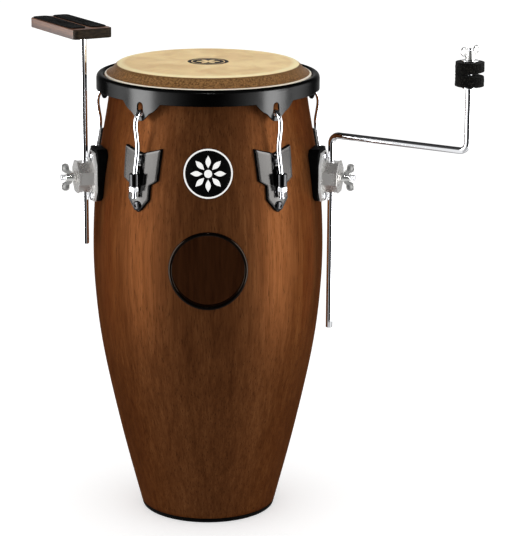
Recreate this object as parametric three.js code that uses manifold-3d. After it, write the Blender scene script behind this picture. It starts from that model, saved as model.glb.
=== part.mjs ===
// A conga drum with five tuning lugs and two rod mounts on its shell: the left one holds a small
// board with hook-and-loop strips, the right one a cranked rod that ends in a felted clamping post.
// Millimetres, +Z up, the player's side at -Y. Azimuths are degrees from the front, + towards +X.
import * as THREE from 'three';
import { mergeVertices } from 'three/addons/utils/BufferGeometryUtils.js';
import Module from 'manifold-3d';

const wasm = await Module();
wasm.setup();

// Place of the drum's axis, so that the whole object's box is centred over the origin
const drumAxis = new THREE.Vector2(-59.6, 3.35);
const gap = 0.3;
const roundSides = 40;

// Shell, as outer radius and height
const shellOutline = [
  [98, 6.4], [126.7, 120], [151.9, 240], [162.6, 330], [164.5, 410], [158.2, 500], [141.8, 600], [137.4, 638],
];
const wall = 11;
const shellFoot = 6.4;
const bearingEdge = [[137, 642.6], [133.4, 647.6], [129.8, 650.4], [127.4, 651], [126.3, 648]];
const innerHeights = [610, 545, 480, 400, 300, 160];
const footOutline = [[86, 0], [96.4, 0], [97.8, 6], [86, 6]];

// Side port and badge, on the front
const portHeight = 392.3;
const portRadius = 50;
const portFlange = 55;
const portFlangeDepth = 2.6;
const badgeHeight = 527;
const badgeRadius = 33.6;
const badgeDepth = 1.6;

// Head, flesh hoop and rim, as closed outlines of radius and height
const skinOutline = [
  [0, 652], [124, 652], [131.6, 650], [143, 637.8], [144.7, 639.2], [134.6, 650.2], [131, 652.6], [124, 654], [0, 654],
];
const fleshHoopOutline = [[146, 629.5], [153.8, 629.5], [153.8, 635], [152.2, 636.2], [146, 636.2]];
const rimOutline = [
  [157.8, 621], [157.8, 638], [156.6, 642.4], [152.6, 645.3], [148.4, 644], [145.4, 640.2],
  [145.4, 638], [147, 637.2], [151.6, 638.6], [154.5, 634.5], [154.5, 621],
];
const rimPlate = [154.5, 157.8];
const lobeSide = [[31.5, 624], [31.5, 621.2], [26, 614.2], [20.5, 609.9], [15.5, 607.6], [7.2, 599.2], [2.5, 596.2]];
const slot = { foot: 602.5, corner: 1.8, footWidth: 10.8, width: 9.2, top: 621.4 };

// Tuning lugs
const lugAzimuths = [-36, 36, 108, 180, -108];
const rodRadius = 3.8;
const lugRadius = 171.6;
const hookBend = { radius: 156.2, height: 600.8, size: 6.6, tip: 596.5 };
const hookSway = [
  [160.9, 605.5], [164.3, 601.4], [166.6, 595.5], [167.3, 588], [166, 577], [164.1, 565], [164.3, 552], [166.6, 542],
  [170.2, 535],
];
const hookShank = [530, 519, 489.5];
const plateSide = [[0, 548.3], [30, 556.8], [28, 513.8], [17, 507], [16.8, 486.6], [4, 471.2]];
const plateTip = 469.6;
const padDepth = 2.6;
const plateDepth = 2.4;
const padMargin = 1;
const barrel = { radius: 7, bore: 4.7, foot: 506.8, top: 523.5 };
const gusset = { width: 8, top: 533, foot: 491, nose: 166.8, noseTop: 527 };
const tuningNut = { flats: 12.2, flange: 7.2, flangeDepth: 1.5, foot: 499.2, bore: 4.5 };
const lugBolts = { lower: 479, upper: 540.5 };
const bolt = { head: 5.5, dome: 2.3, shank: 2.7, hole: 3.4, nut: 4.9, nutDepth: 5 };

// Rod mounts
const mountAzimuth = 74;
const mountHeight = 501;
const mountRod = { distance: 180, radius: 4.75 };
const mountPad = { halfWidth: 24.5, foot: 467.5, top: 541, chamfer: 7, face: 167 };
const mountBase = { halfWidth: 23, halfHeight: 34.5, endHalfWidth: 12, shoulder: 19, depth: 3.6 };
const boss = { flats: 42, face: 190.3 };
const rodBore = 5.35;
const eye = { radius: 9, hole: 5.75, height: 9, offset: 0.45, travel: 0.9 };
const stud = { radius: 3.9, end: 214.5 };
const cap = { flats: 44, depth: 2.6, hub: 9, hubDepth: 2.2, hole: 4.7 };
const wingNut = { hub: 6.4, neck: 5, length: 12, reach: 13.2, ear: 6.3, lean: 12.2, thickness: 3.2, bore: 4.5 };
const mountBoltOffset = 28.4;

// Board and its rod
const boardRod = { foot: 404, top: 705 };
const board = { length: 146, width: 59.5, depth: 13.7, foot: 698.8, corner: 8, end: 30.6, offset: -1.9, azimuth: 119 };
const strip = { width: 24, spacing: 31, nearMargin: 10, farMargin: 2, depth: 1.5, corner: 4 };

// Cranked rod and its felted post
const crank = { foot: 280.4, arm: 560.5, reach: 212, azimuth: -33.3, bend: 12 };
const collar = { foot: 646.8, top: 649.8, radius: 10 };
const postTop = 701;
const felt = { radius: 19.5, hole: 4.8, foot: 650.1, middle: 666.6, top: 683.2, slope: 0.07 };
const postWasher = { radius: 11.6, depth: 1.8 };
const postNutAzimuth = 45;

const radians = THREE.MathUtils.degToRad;

// Turns a closed geometry into a solid that can be joined and cut
function toSolid(geometry) {
  const bare = geometry.clone();
  bare.deleteAttribute('normal');
  bare.deleteAttribute('uv');
  const merged = mergeVertices(bare, 1e-4);
  const places = merged.getAttribute('position').array;
  const corners = merged.getIndex().array;
  const kept = [];
  for (let i = 0; i < corners.length; i += 3) {
    const [a, b, c] = corners.slice(i, i + 3);
    if (a !== b && b !== c && c !== a) kept.push(a, b, c);
  }
  const mesh = new wasm.Mesh({
    numProp: 3,
    vertProperties: new Float32Array(places),
    triVerts: new Uint32Array(kept),
  });
  return new wasm.Manifold(mesh);
}

function toGeometry(solid) {
  const mesh = solid.getMesh();
  const geometry = new THREE.BufferGeometry();
  geometry.setAttribute('position', new THREE.BufferAttribute(new Float32Array(mesh.vertProperties), 3));
  geometry.setIndex(new THREE.BufferAttribute(new Uint32Array(mesh.triVerts), 1));
  geometry.computeVertexNormals();
  return geometry;
}

function join(first, ...others) {
  return toGeometry(others.reduce((sum, other) => sum.add(toSolid(other)), toSolid(first)));
}

function cut(first, ...others) {
  return toGeometry(others.reduce((rest, other) => rest.subtract(toSolid(other)), toSolid(first)));
}

function common(first, second) {
  return toGeometry(toSolid(first).intersect(toSolid(second)));
}

// A round body about Z from [radius, height] points, given anticlockwise in that plane
function turned(outline, sides = roundSides) {
  const points = outline.map(([radius, height]) => new THREE.Vector2(radius, height));
  if (outline[0][0] > 0) points.push(points[0].clone());
  const geometry = new THREE.LatheGeometry(points, sides);
  return geometry.rotateX(Math.PI / 2);
}

function cylinder(radius, foot, top, sides) {
  return turned([[0, foot], [radius, foot], [radius, top], [0, top]], sides);
}

function asShape(outline) {
  return outline instanceof THREE.Shape ? outline : new THREE.Shape(outline.map((p) => new THREE.Vector2(...p)));
}

// An outline across the drum's radius, from [sideways, height] points, at a stretch of radii
function slab(outline, from, to) {
  const shape = asShape(outline);
  const geometry = new THREE.ExtrudeGeometry(shape, { depth: to - from, bevelEnabled: false, curveSegments: 3 });
  return geometry.rotateX(Math.PI / 2).translate(0, to, 0);
}

// An upright outline of [radius, height] points, as thick as given to both sides of the radius
function fin(outline, thickness) {
  const shape = asShape(outline);
  const geometry = new THREE.ExtrudeGeometry(shape, { depth: thickness, bevelEnabled: false, curveSegments: 4 });
  return geometry.rotateX(Math.PI / 2).rotateZ(Math.PI / 2).translate(-thickness / 2, 0, 0);
}

// A round bar or disc along the drum's radius at a height
function radial(radius, from, to, height, sides) {
  return cylinder(radius, from, to, sides).rotateX(-Math.PI / 2).translate(0, 0, height);
}

function polygon(radius, sides, phase = 0) {
  const turn = (i) => phase + (i / sides) * 2 * Math.PI;
  return Array.from({ length: sides }, (_, i) => [radius * Math.cos(turn(i)), radius * Math.sin(turn(i))]);
}

function octagon(flats, height) {
  return polygon(flats / 2 / Math.cos(Math.PI / 8), 8, Math.PI / 8).map(([x, z]) => [x, z + height]);
}

function mirrored(side) {
  const left = side.filter(([x]) => x > 0).map(([x, z]) => [-x, z]);
  return [...side, ...left.reverse()];
}

// A path through given points, with one ring of a tube at each of them
class RodPath extends THREE.Curve {
  constructor(points) {
    super();
    this.points = points;
  }

  getPoint(t, target = new THREE.Vector3()) {
    const place = t * (this.points.length - 1);
    const index = Math.min(Math.floor(place + 1e-9), this.points.length - 2);
    return target.lerpVectors(this.points[index], this.points[index + 1], place - index);
  }

  getPointAt(u, target) {
    return this.getPoint(u, target);
  }

  getTangentAt(u, target = new THREE.Vector3()) {
    const index = Math.round(u * (this.points.length - 1));
    const before = this.points[Math.max(index - 1, 0)];
    const after = this.points[Math.min(index + 1, this.points.length - 1)];
    const here = this.points[index];
    const arriving = index > 0 ? here.clone().sub(before).normalize() : new THREE.Vector3();
    const leaving = index < this.points.length - 1 ? after.clone().sub(here).normalize() : new THREE.Vector3();
    return target.copy(arriving.add(leaving)).normalize();
  }
}

function rod(points, radius, sides) {
  const section = new THREE.Shape(polygon(radius, sides).map(([x, y]) => new THREE.Vector2(x, y)));
  const path = new RodPath(points);
  return new THREE.ExtrudeGeometry(section, { steps: points.length - 1, extrudePath: path, bevelEnabled: false });
}

// The shell's outer radius at a height
const shellCurve = new THREE.SplineCurve(shellOutline.map(([radius, height]) => new THREE.Vector2(radius, height)));

function shellRadius(height) {
  let low = 0;
  let high = 1;
  for (let i = 0; i < 40; i += 1) {
    const middle = (low + high) / 2;
    if (shellCurve.getPoint(middle).y < height) low = middle;
    else high = middle;
  }
  return shellCurve.getPoint(low).x;
}

// A layer that follows the shell between two distances from its outer face
function shellLayer(from, to, foot, top) {
  const heights = Array.from({ length: 4 }, (_, i) => foot + ((top - foot) * i) / 3);
  const outside = heights.map((height) => [shellRadius(height) + to, height]);
  const inside = heights.map((height) => [shellRadius(height) + from, height]);
  return turned([...outside, ...inside.reverse()]);
}

function turnTo(geometry, azimuth) {
  return geometry.rotateZ(radians(azimuth + 180));
}

function boltHoles() {
  const lug = lugAzimuths.flatMap((azimuth) => Object.values(lugBolts).map((height) => [azimuth, height]));
  const mount = [-1, 1].flatMap((side) => [-1, 1].map((end) => [side * mountAzimuth, mountHeight + end * mountBoltOffset]));
  return [...lug, ...mount].map(([azimuth, height]) => turnTo(radial(bolt.hole, 120, 200, height, 6), azimuth));
}

function shell() {
  const outside = shellCurve.getSpacedPoints(10).map((point) => [point.x, point.y]);
  const inside = innerHeights.map((height) => [shellRadius(height) - wall, height]);
  const body = turned([...outside, ...bearingEdge, ...inside, [shellRadius(shellFoot) - wall, shellFoot]]);
  const port = turnTo(radial(portRadius + 1.8, 120, 200, portHeight, 24), 0);
  return cut(body, port, ...boltHoles());
}

function portRing() {
  const reach = [portHeight - portFlange - 5, portHeight + portFlange + 5];
  const hole = radial(portRadius, 100, 200, portHeight, 24);
  const flange = common(radial(portFlange, 130, 190, portHeight, 24), shellLayer(gap, portFlangeDepth, ...reach));
  const sleeve = common(radial(portRadius + 1.4, 130, 190, portHeight, 24), shellLayer(-wall, 1.2, ...reach));
  return turnTo(cut(join(flange, sleeve), hole), 0);
}

function badge() {
  const disc = radial(badgeRadius, 130, 190, badgeHeight, 24);
  const reach = [badgeHeight - badgeRadius - 4, badgeHeight + badgeRadius + 4];
  return turnTo(common(disc, shellLayer(gap, badgeDepth, ...reach)), 0);
}

function lobe() {
  return slab(mirrored(lobeSide), 140, 170);
}

function lobeSlot() {
  const half = slot.width / 2;
  const foot = slot.footWidth / 2;
  const shape = new THREE.Shape();
  shape.moveTo(-foot + slot.corner, slot.foot);
  shape.lineTo(foot - slot.corner, slot.foot);
  shape.lineTo(foot, slot.foot + slot.corner);
  shape.lineTo(half, slot.top - half);
  shape.absarc(0, slot.top - half, half, 0, Math.PI);
  shape.lineTo(-foot, slot.foot + slot.corner);
  return slab(shape, 130, 180);
}

function rim() {
  const [inner, outer] = rimPlate;
  const band = turned([[inner, 590], [outer, 590], [outer, 624], [inner, 624]]);
  const lobes = lugAzimuths.map((azimuth) => common(band, turnTo(lobe(), azimuth)));
  const slots = lugAzimuths.map((azimuth) => turnTo(lobeSlot(), azimuth));
  return cut(join(turned(rimOutline), ...lobes), ...slots);
}

// One J-hook: over the foot of its slot, swayed down the shell, straight through barrel and nut
function hook() {
  const { radius, height, size, tip } = hookBend;
  const arc = Array.from({ length: 5 }, (_, i) => Math.PI * (1 - i / 6));
  const bend = arc.map((angle) => [radius + size * Math.cos(angle), height + size * Math.sin(angle)]);
  const sway = new THREE.SplineCurve([...hookSway, [lugRadius, hookShank[0]]].map((p) => new THREE.Vector2(...p)));
  const swayed = sway.getPoints(10).map((point) => [point.x, point.y]);
  const shank = hookShank.slice(1).map((z) => [lugRadius, z]);
  const route = [[radius - size, tip], ...bend, ...swayed, ...shank];
  return rod(route.map(([y, z]) => new THREE.Vector3(0, y, z)), rodRadius, 7);
}

function lugOutline(margin) {
  const side = plateSide.map(([x, z], i) => [x > 0 ? x + margin : 0, i < 2 ? z + margin : z]);
  return [...mirrored([...side, [margin, plateTip - margin]])];
}

// Plate, guide barrel and gusset of a lug, one welded piece
function lugPlate() {
  const layer = shellLayer(padDepth + 2 * gap, padDepth + 2 * gap + plateDepth, 460, 566);
  const plate = common(slab(lugOutline(0), 140, 190), layer);
  const barrelBody = cylinder(barrel.radius, barrel.foot, barrel.top, 10).translate(0, lugRadius, 0);
  const face = (height) => shellRadius(height) + padDepth + 2 * gap + plateDepth;
  const tail = lugRadius - tuningNut.flange - 2 * gap;
  const side = [
    [face(gusset.foot) - 1, gusset.foot], [tail, barrel.foot - 6], [tail, barrel.foot], [lugRadius, barrel.foot],
    [lugRadius, barrel.top], [gusset.nose, gusset.noseTop], [face(gusset.top), gusset.top],
    [face(gusset.top) - 1, gusset.top],
  ];
  const bore = cylinder(barrel.bore, 480, 545, 8).translate(0, lugRadius, 0);
  const holes = Object.values(lugBolts).map((height) => radial(bolt.hole, 140, 190, height, 6));
  return cut(join(plate, barrelBody, fin(side, gusset.width)), bore, ...holes);
}

function lugPad() {
  const layer = shellLayer(gap, gap + padDepth, 460, 566);
  const holes = Object.values(lugBolts).map((height) => radial(bolt.hole, 140, 190, height, 6));
  return cut(common(slab(lugOutline(padMargin), 140, 190), layer), ...holes);
}

// A domed bolt through the shell's wall with its nut inside; face is where its head bears
function throughBolt(face, height) {
  const nutFace = shellRadius(height + bolt.nut) - wall - 3 * gap;
  const outline = [
    [0, nutFace - bolt.nutDepth], [bolt.nut, nutFace - bolt.nutDepth], [bolt.nut, nutFace], [bolt.shank, nutFace],
    [bolt.shank, face], [bolt.head, face], [0.7 * bolt.head, face + 0.8 * bolt.dome], [0, face + bolt.dome],
  ];
  return turned(outline, 8).rotateX(-Math.PI / 2).translate(0, 0, height);
}

function lugBolt(height) {
  const face = shellRadius(height - bolt.head) + padDepth + 3 * gap + plateDepth;
  return throughBolt(face, height);
}

function hexNut({ flats, flange, flangeDepth, foot, bore }) {
  const top = barrel.foot - gap;
  const hexagon = cylinder(flats / 2 / Math.cos(Math.PI / 6), foot, top - flangeDepth / 2, 6);
  const collarDisc = cylinder(flange, top - flangeDepth, top, 12);
  return cut(join(hexagon, collarDisc), cylinder(bore, foot - 5, top + 5, 8)).translate(0, lugRadius, 0);
}

// Rubber wedge between the curved, sloping shell and the flat base of a mount
function mountWedge() {
  const { halfWidth, foot, top, chamfer, face } = mountPad;
  const side = [[halfWidth, foot + chamfer], [halfWidth, top - chamfer], [halfWidth - chamfer, top]];
  const outline = mirrored([[halfWidth - chamfer, foot], ...side]);
  const inside = shellLayer(-40, 2 * gap, foot - 5, top + 5);
  const holes = [-1, 1].map((end) => radial(bolt.hole, 140, 190, mountHeight + end * mountBoltOffset, 6));
  return cut(slab(outline, 140, face), inside, ...holes);
}

// Base and octagonal boss of a mount, with the rod's bore and the eye's pocket
function mountBracket() {
  const { halfWidth, halfHeight, endHalfWidth, shoulder, depth } = mountBase;
  const back = mountPad.face + gap;
  const side = [[endHalfWidth, -halfHeight], [halfWidth, -shoulder], [halfWidth, shoulder], [endHalfWidth, halfHeight]];
  const base = slab(mirrored(side).map(([x, z]) => [x, z + mountHeight]), back, back + depth);
  const block = slab(octagon(boss.flats, mountHeight), back + depth - 1, boss.face);
  const bore = cylinder(rodBore, 440, 560, 12).translate(0, mountRod.distance, 0);
  const room = eye.radius + 2 * gap;
  const level = eye.height / 2 + 2 * gap;
  const bottom = mountRod.distance + eye.offset - eye.radius - eye.travel - 2 * gap;
  const corners = [[-room, -level], [room, -level], [room, level], [-room, level]];
  const pocket = slab(corners.map(([x, z]) => [x, z + mountHeight]), bottom, 200);
  const holes = [-1, 1].map((end) => radial(bolt.hole, 140, 190, mountHeight + end * mountBoltOffset, 6));
  return cut(join(base, block), bore, pocket, ...holes);
}

function eyebolt() {
  const centre = mountRod.distance + eye.offset;
  const ring = cylinder(eye.radius, -eye.height / 2, eye.height / 2, 14).translate(0, centre, mountHeight);
  const hole = cylinder(eye.hole, -20, 20, 10).translate(0, centre, mountHeight);
  const shank = radial(stud.radius, centre + eye.radius - 1.5, stud.end, mountHeight, 8);
  return cut(join(ring, shank), hole);
}

function mountCap() {
  const face = boss.face + gap;
  const disc = slab(octagon(cap.flats, mountHeight), face, face + cap.depth);
  const dome = slab(octagon(2 * cap.hub, mountHeight), face + 1, face + cap.depth + cap.hubDepth);
  return cut(join(disc, dome), radial(cap.hole, 180, 210, mountHeight, 8));
}

// A wing nut standing on z = 0, its wings along Y, both ears leaning outwards
function wings() {
  const { hub, neck, length, reach, ear, lean, thickness, bore } = wingNut;
  const shape = new THREE.Shape();
  shape.moveTo(0, 1.2);
  shape.lineTo(reach - 5, 2.6);
  shape.absarc(reach, lean, ear, -1.9, 2.3);
  shape.lineTo(neck, length - 2);
  shape.lineTo(-neck, length - 2);
  shape.absarc(-reach, lean, ear, Math.PI - 2.3, Math.PI + 1.9);
  shape.lineTo(-reach + 5, 2.6);
  const hubBody = turned([[0, 0], [hub, 0], [hub, 2.2], [neck, length], [0, length]], 10);
  return cut(join(hubBody, fin(shape, thickness)), cylinder(bore, -2, length + 2, 8));
}

function mountWingNut() {
  const face = boss.face + 2 * gap + cap.depth + cap.hubDepth;
  return wings().rotateX(-Math.PI / 2).translate(0, face, mountHeight);
}

function mountBolt(end) {
  return throughBolt(mountPad.face + 2 * gap + mountBase.depth, mountHeight + end * mountBoltOffset);
}

function boardBody() {
  const blank = plank(board.length, board.width, board.corner, board.foot, board.depth);
  return cut(blank, cylinder(mountRod.radius + 0.4, board.foot - 5, boardRod.top + gap, 12));
}

// A flat block with round corners, its long side on +X, placed as the board is on its rod at the origin
function plank(length, width, corner, foot, depth) {
  const [left, right, half] = [-board.end, length - board.end, width / 2];
  const shape = new THREE.Shape();
  shape.moveTo(left + corner, -half);
  shape.absarc(right - corner, -half + corner, corner, -Math.PI / 2, 0);
  shape.absarc(right - corner, half - corner, corner, 0, Math.PI / 2);
  shape.absarc(left + corner, half - corner, corner, Math.PI / 2, Math.PI);
  shape.absarc(left + corner, -half + corner, corner, Math.PI, 1.5 * Math.PI);
  const geometry = new THREE.ExtrudeGeometry(shape, { depth, bevelEnabled: false, curveSegments: 4 });
  return geometry.translate(0, board.offset, foot);
}

function gripStrip(side) {
  const length = board.length - strip.nearMargin - strip.farMargin;
  const body = plank(length, strip.width, strip.corner, board.foot + board.depth + gap, strip.depth);
  return body.translate(strip.nearMargin, (side * strip.spacing) / 2, 0);
}

// The cranked rod about its own upright axis, with the collar and threaded end of its post
function crankRod() {
  const { foot, arm, reach, bend } = crank;
  const quarter = Array.from({ length: 6 }, (_, i) => (i / 5) * (Math.PI / 2));
  const lower = quarter.map((a) => [bend * (1 - Math.cos(a)), arm - bend * (1 - Math.sin(a))]);
  const upper = quarter.map((a) => [reach - bend * (1 - Math.sin(a)), arm + bend * (1 - Math.cos(a))]);
  const route = [[0, foot], ...lower, ...upper, [reach, collar.foot + 1]];
  const body = rod(route.map(([x, z]) => new THREE.Vector3(x, 0, z)), mountRod.radius, 12);
  const disc = cylinder(collar.radius, collar.foot, collar.top, 14).translate(reach, 0, 0);
  const thread = cylinder(stud.radius, collar.top - 2, postTop, 8).translate(reach, 0, 0);
  return join(body, disc, thread);
}

// A felt disc whose upper or lower face slopes away, so that the pair opens to one side
function feltDisc(foot, top, footSlope, topSlope) {
  const geometry = turned([[felt.hole, foot], [felt.radius, foot], [felt.radius, top], [felt.hole, top]], 24);
  const places = geometry.getAttribute('position');
  for (let i = 0; i < places.count; i += 1) {
    const slope = places.getZ(i) < (foot + top) / 2 ? footSlope : topSlope;
    places.setZ(i, places.getZ(i) + slope * (places.getX(i) + felt.radius));
  }
  return geometry;
}

const paint = (color, roughness, metalness) => new THREE.MeshStandardMaterial({ color, roughness, metalness });
const wood = paint(0x6b3f22, 0.35, 0);
const hide = paint(0xd8b27a, 0.6, 0);
const blackSteel = paint(0x2b2b2d, 0.35, 0.6);
const chrome = paint(0xd9dbde, 0.12, 1);
const rubber = paint(0x141414, 0.7, 0);
const darkTrim = paint(0x1c1a19, 0.4, 0);
const blackFelt = paint(0x101010, 1, 0);
const boltSteel = paint(0x3a3a3c, 0.3, 0.8);

const conga = new THREE.Group();
conga.position.set(drumAxis.x, drumAxis.y, 0);

function add(parent, name, geometry, material) {
  const mesh = new THREE.Mesh(geometry, material);
  mesh.name = name;
  parent.add(mesh);
}

function atAzimuth(azimuth) {
  const group = new THREE.Group();
  group.rotation.z = radians(azimuth + 180);
  conga.add(group);
  return group;
}

function buildDrum() {
  add(conga, 'shell', shell(), wood);
  add(conga, 'foot_ring', turned(footOutline), rubber);
  add(conga, 'port_ring', portRing(), darkTrim);
  add(conga, 'badge', badge(), darkTrim);
  add(conga, 'head_skin', turned(skinOutline), hide);
  add(conga, 'flesh_hoop', turned(fleshHoopOutline), hide);
  add(conga, 'rim', rim(), blackSteel);
}

function buildLugs() {
  const shapes = [
    ['hook', hook(), chrome], ['lug_plate', lugPlate(), blackSteel], ['lug_pad', lugPad(), rubber],
    ['tuning_nut', hexNut(tuningNut), chrome], ['lug_bolt_lower', lugBolt(lugBolts.lower), boltSteel],
    ['lug_bolt_upper', lugBolt(lugBolts.upper), boltSteel],
  ];
  lugAzimuths.forEach((azimuth, i) => {
    const group = atAzimuth(azimuth);
    shapes.forEach(([name, geometry, material]) => add(group, `${name}_${i + 1}`, geometry, material));
  });
}

function buildMount(side, sign) {
  const group = atAzimuth(sign * mountAzimuth);
  add(group, `${side}_mount_pad`, mountWedge(), rubber);
  add(group, `${side}_bracket`, mountBracket(), chrome);
  add(group, `${side}_bracket_bolt_lower`, mountBolt(-1), chrome);
  add(group, `${side}_bracket_bolt_upper`, mountBolt(1), chrome);
  add(group, `${side}_eyebolt`, eyebolt(), chrome);
  add(group, `${side}_clamp_cap`, mountCap(), chrome);
  add(group, `${side}_wing_nut`, mountWingNut(), chrome);
}

// A group on a mount's rod axis, turned to an angle from +X
function onRod(sign, angle) {
  const group = new THREE.Group();
  const azimuth = radians(sign * mountAzimuth);
  group.position.set(mountRod.distance * Math.sin(azimuth), -mountRod.distance * Math.cos(azimuth), 0);
  group.rotation.z = radians(angle);
  conga.add(group);
  return group;
}

function buildBoard() {
  const group = onRod(-1, board.azimuth);
  add(group, 'board_rod', cylinder(mountRod.radius, boardRod.foot, boardRod.top, 12), chrome);
  add(group, 'board', boardBody(), wood);
  add(group, 'grip_strip_outer', gripStrip(1), blackFelt);
  add(group, 'grip_strip_inner', gripStrip(-1), blackFelt);
}

function buildPost() {
  const group = onRod(1, crank.azimuth);
  add(group, 'crank_rod', crankRod(), chrome);
  const post = new THREE.Group();
  post.position.x = crank.reach;
  post.rotation.z = radians(-crank.azimuth);
  group.add(post);
  const { foot, middle, top, slope } = felt;
  const washerFoot = top + gap;
  const washerTop = washerFoot + postWasher.depth;
  const ring = [
    [felt.hole, washerFoot], [postWasher.radius, washerFoot],
    [postWasher.radius, washerTop], [felt.hole, washerTop],
  ];
  add(post, 'felt_lower', feltDisc(foot, middle, 0, -slope), blackFelt);
  add(post, 'felt_upper', feltDisc(middle + 2 * gap, top, slope, 0), blackFelt);
  add(post, 'post_washer', turned(ring, 18), chrome);
  const nut = wings().rotateZ(radians(postNutAzimuth - 90)).translate(0, 0, washerTop + gap);
  add(post, 'post_wing_nut', nut, chrome);
}

buildDrum();
buildLugs();
buildMount('left', -1);
buildMount('right', 1);
buildBoard();
buildPost();

export default conga;
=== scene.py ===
import math
from functools import partial

import bmesh
import bpy
import numpy as np
from mathutils import Matrix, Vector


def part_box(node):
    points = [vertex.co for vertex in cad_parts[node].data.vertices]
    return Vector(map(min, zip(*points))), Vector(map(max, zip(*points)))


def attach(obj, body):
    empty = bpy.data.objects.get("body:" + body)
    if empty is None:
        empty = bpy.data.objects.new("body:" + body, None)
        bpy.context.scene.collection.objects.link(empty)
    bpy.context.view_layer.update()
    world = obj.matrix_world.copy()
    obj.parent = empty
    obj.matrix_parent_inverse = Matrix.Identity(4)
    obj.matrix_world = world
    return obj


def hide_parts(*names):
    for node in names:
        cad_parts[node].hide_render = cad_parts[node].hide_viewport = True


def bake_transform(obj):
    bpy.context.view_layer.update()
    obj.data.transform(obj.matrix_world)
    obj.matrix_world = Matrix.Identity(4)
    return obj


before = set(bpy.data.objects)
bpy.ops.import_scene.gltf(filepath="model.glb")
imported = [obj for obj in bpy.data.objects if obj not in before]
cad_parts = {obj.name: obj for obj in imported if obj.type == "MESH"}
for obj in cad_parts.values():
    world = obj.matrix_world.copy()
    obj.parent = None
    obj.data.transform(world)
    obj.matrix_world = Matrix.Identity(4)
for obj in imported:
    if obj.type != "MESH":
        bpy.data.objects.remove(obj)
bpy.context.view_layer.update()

footLow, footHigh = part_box("foot_ring")
axisX = 500 * (footLow.x + footHigh.x)   # the drum's upright axis, in millimetres
axisY = 500 * (footLow.y + footHigh.y)

view = {   # in metres, degrees and, for the lens and its sensor, millimetres
    "place": (-0.0596, -3.05665, 1.149), "pan": -1.3622, "tilt": 75.4538, "roll": 0.34153,
    "lens": 152.318, "sensor": 36,
}


def makeCamera():
    # pan about the upright, then tilt about the sideways axis, then roll about the line of sight
    data = bpy.data.cameras.new("camera")
    data.lens = view["lens"]
    data.sensor_width = view["sensor"]
    data.sensor_fit = "HORIZONTAL"
    camera = bpy.data.objects.new("camera", data)
    turn = Matrix.Identity(4)
    for key, axis in (("pan", "Z"), ("tilt", "X"), ("roll", "Z")):
        turn = turn @ Matrix.Rotation(math.radians(view[key]), 4, axis)
    camera.matrix_world = Matrix.Translation(view["place"]) @ turn
    bpy.context.scene.collection.objects.link(camera)
    bpy.context.scene.camera = camera


makeCamera()


# Shared shapes: points are in millimetres, and a patch is (points, faces)
def gridFaces(rows, cols, wrapRows=False, wrapCols=False):
    # each face joins a point to its right, upper right and upper neighbours
    r, c = np.meshgrid(np.arange(rows - (not wrapRows)), np.arange(cols - (not wrapCols)), indexing="ij")
    up, right = (r + 1) % rows, (c + 1) % cols
    corners = [r * cols + c, r * cols + right, up * cols + right, up * cols + c]
    return np.stack(corners, axis=-1).reshape(-1, 4)


def patch(points, wrapRows=False, wrapCols=False):
    # a grid of points as one list, with the faces between them
    rows, cols = points.shape[:2]
    return points.reshape(-1, 3), gridFaces(rows, cols, wrapRows, wrapCols)


def addPiece(name, patches, material, body, sharp=38):
    # all patches in one mesh, seams merged, faces outwards, edges sharper than the angle kept crisp
    points, faces, start = [], [], 0
    for place, corners in patches:
        points.append(place)
        faces.extend((corners + start).tolist())
        start += len(place)
    mesh = bpy.data.meshes.new(name)
    mesh.from_pydata(np.concatenate(points) * 0.001, [], faces)
    work = bmesh.new()
    work.from_mesh(mesh)
    bmesh.ops.remove_doubles(work, verts=work.verts, dist=3e-6)
    bmesh.ops.dissolve_degenerate(work, dist=1e-7, edges=work.edges)
    bmesh.ops.recalc_face_normals(work, faces=work.faces)
    work.to_mesh(mesh)
    work.free()
    mesh.shade_smooth()
    mesh.set_sharp_from_angle(angle=math.radians(sharp))
    mesh.materials.append(material)
    item = bpy.data.objects.new(name, mesh)
    bpy.context.scene.collection.objects.link(item)
    if body:
        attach(item, body)
    return item


def replaceNode(node, patches, material, body, sharp=38):
    # a new piece that stands for the CAD node of its name
    item = addPiece("fine_" + node, patches, material, body, sharp)
    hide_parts(node)
    return item


def faceValues(item, kind):
    # the "center" or "normal" of every face, as rows of [x, y, z]
    values = np.empty(len(item.data.polygons) * 3)
    item.data.polygons.foreach_get(kind, values)
    return values.reshape(-1, 3)


def secondMaterial(item, material, chosen):
    # the chosen faces take a second material
    item.data.materials.append(material)
    item.data.polygons.foreach_set("material_index", chosen.astype(int))


def turned(points, degrees, centre=(0.0, 0.0)):
    # turns about the upright through the origin, then moves to the centre
    angle = math.radians(degrees)
    x, y = points[..., 0], points[..., 1]
    across = x * math.cos(angle) - y * math.sin(angle) + centre[0]
    along = x * math.sin(angle) + y * math.cos(angle) + centre[1]
    return np.stack([across, along, points[..., 2]], axis=-1)


def atAzimuth(patches, azimuth):
    # local frame of a lug or mount: +Y leaves the drum's axis at that azimuth from the front
    return [(turned(points, azimuth + 180, (axisX, axisY)), faces) for points, faces in patches]


def catmull(points, count):
    # uniform Catmull-Rom curve with its end points doubled
    points = np.asarray(points, float)
    whole = np.concatenate([points[:1], points, points[-1:]])
    place = np.linspace(0, len(points) - 1, count)
    index = np.minimum(place.astype(int), len(points) - 2)
    t = (place - index)[:, None]
    a, b, c, d = whole[index], whole[index + 1], whole[index + 2], whole[index + 3]
    slopeB, slopeC = (c - a) / 2, (d - b) / 2
    cubic = (2 * b - 2 * c + slopeB + slopeC) * t**3
    return cubic + (3 * c - 3 * b - 2 * slopeB - slopeC) * t**2 + slopeB * t + b


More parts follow.
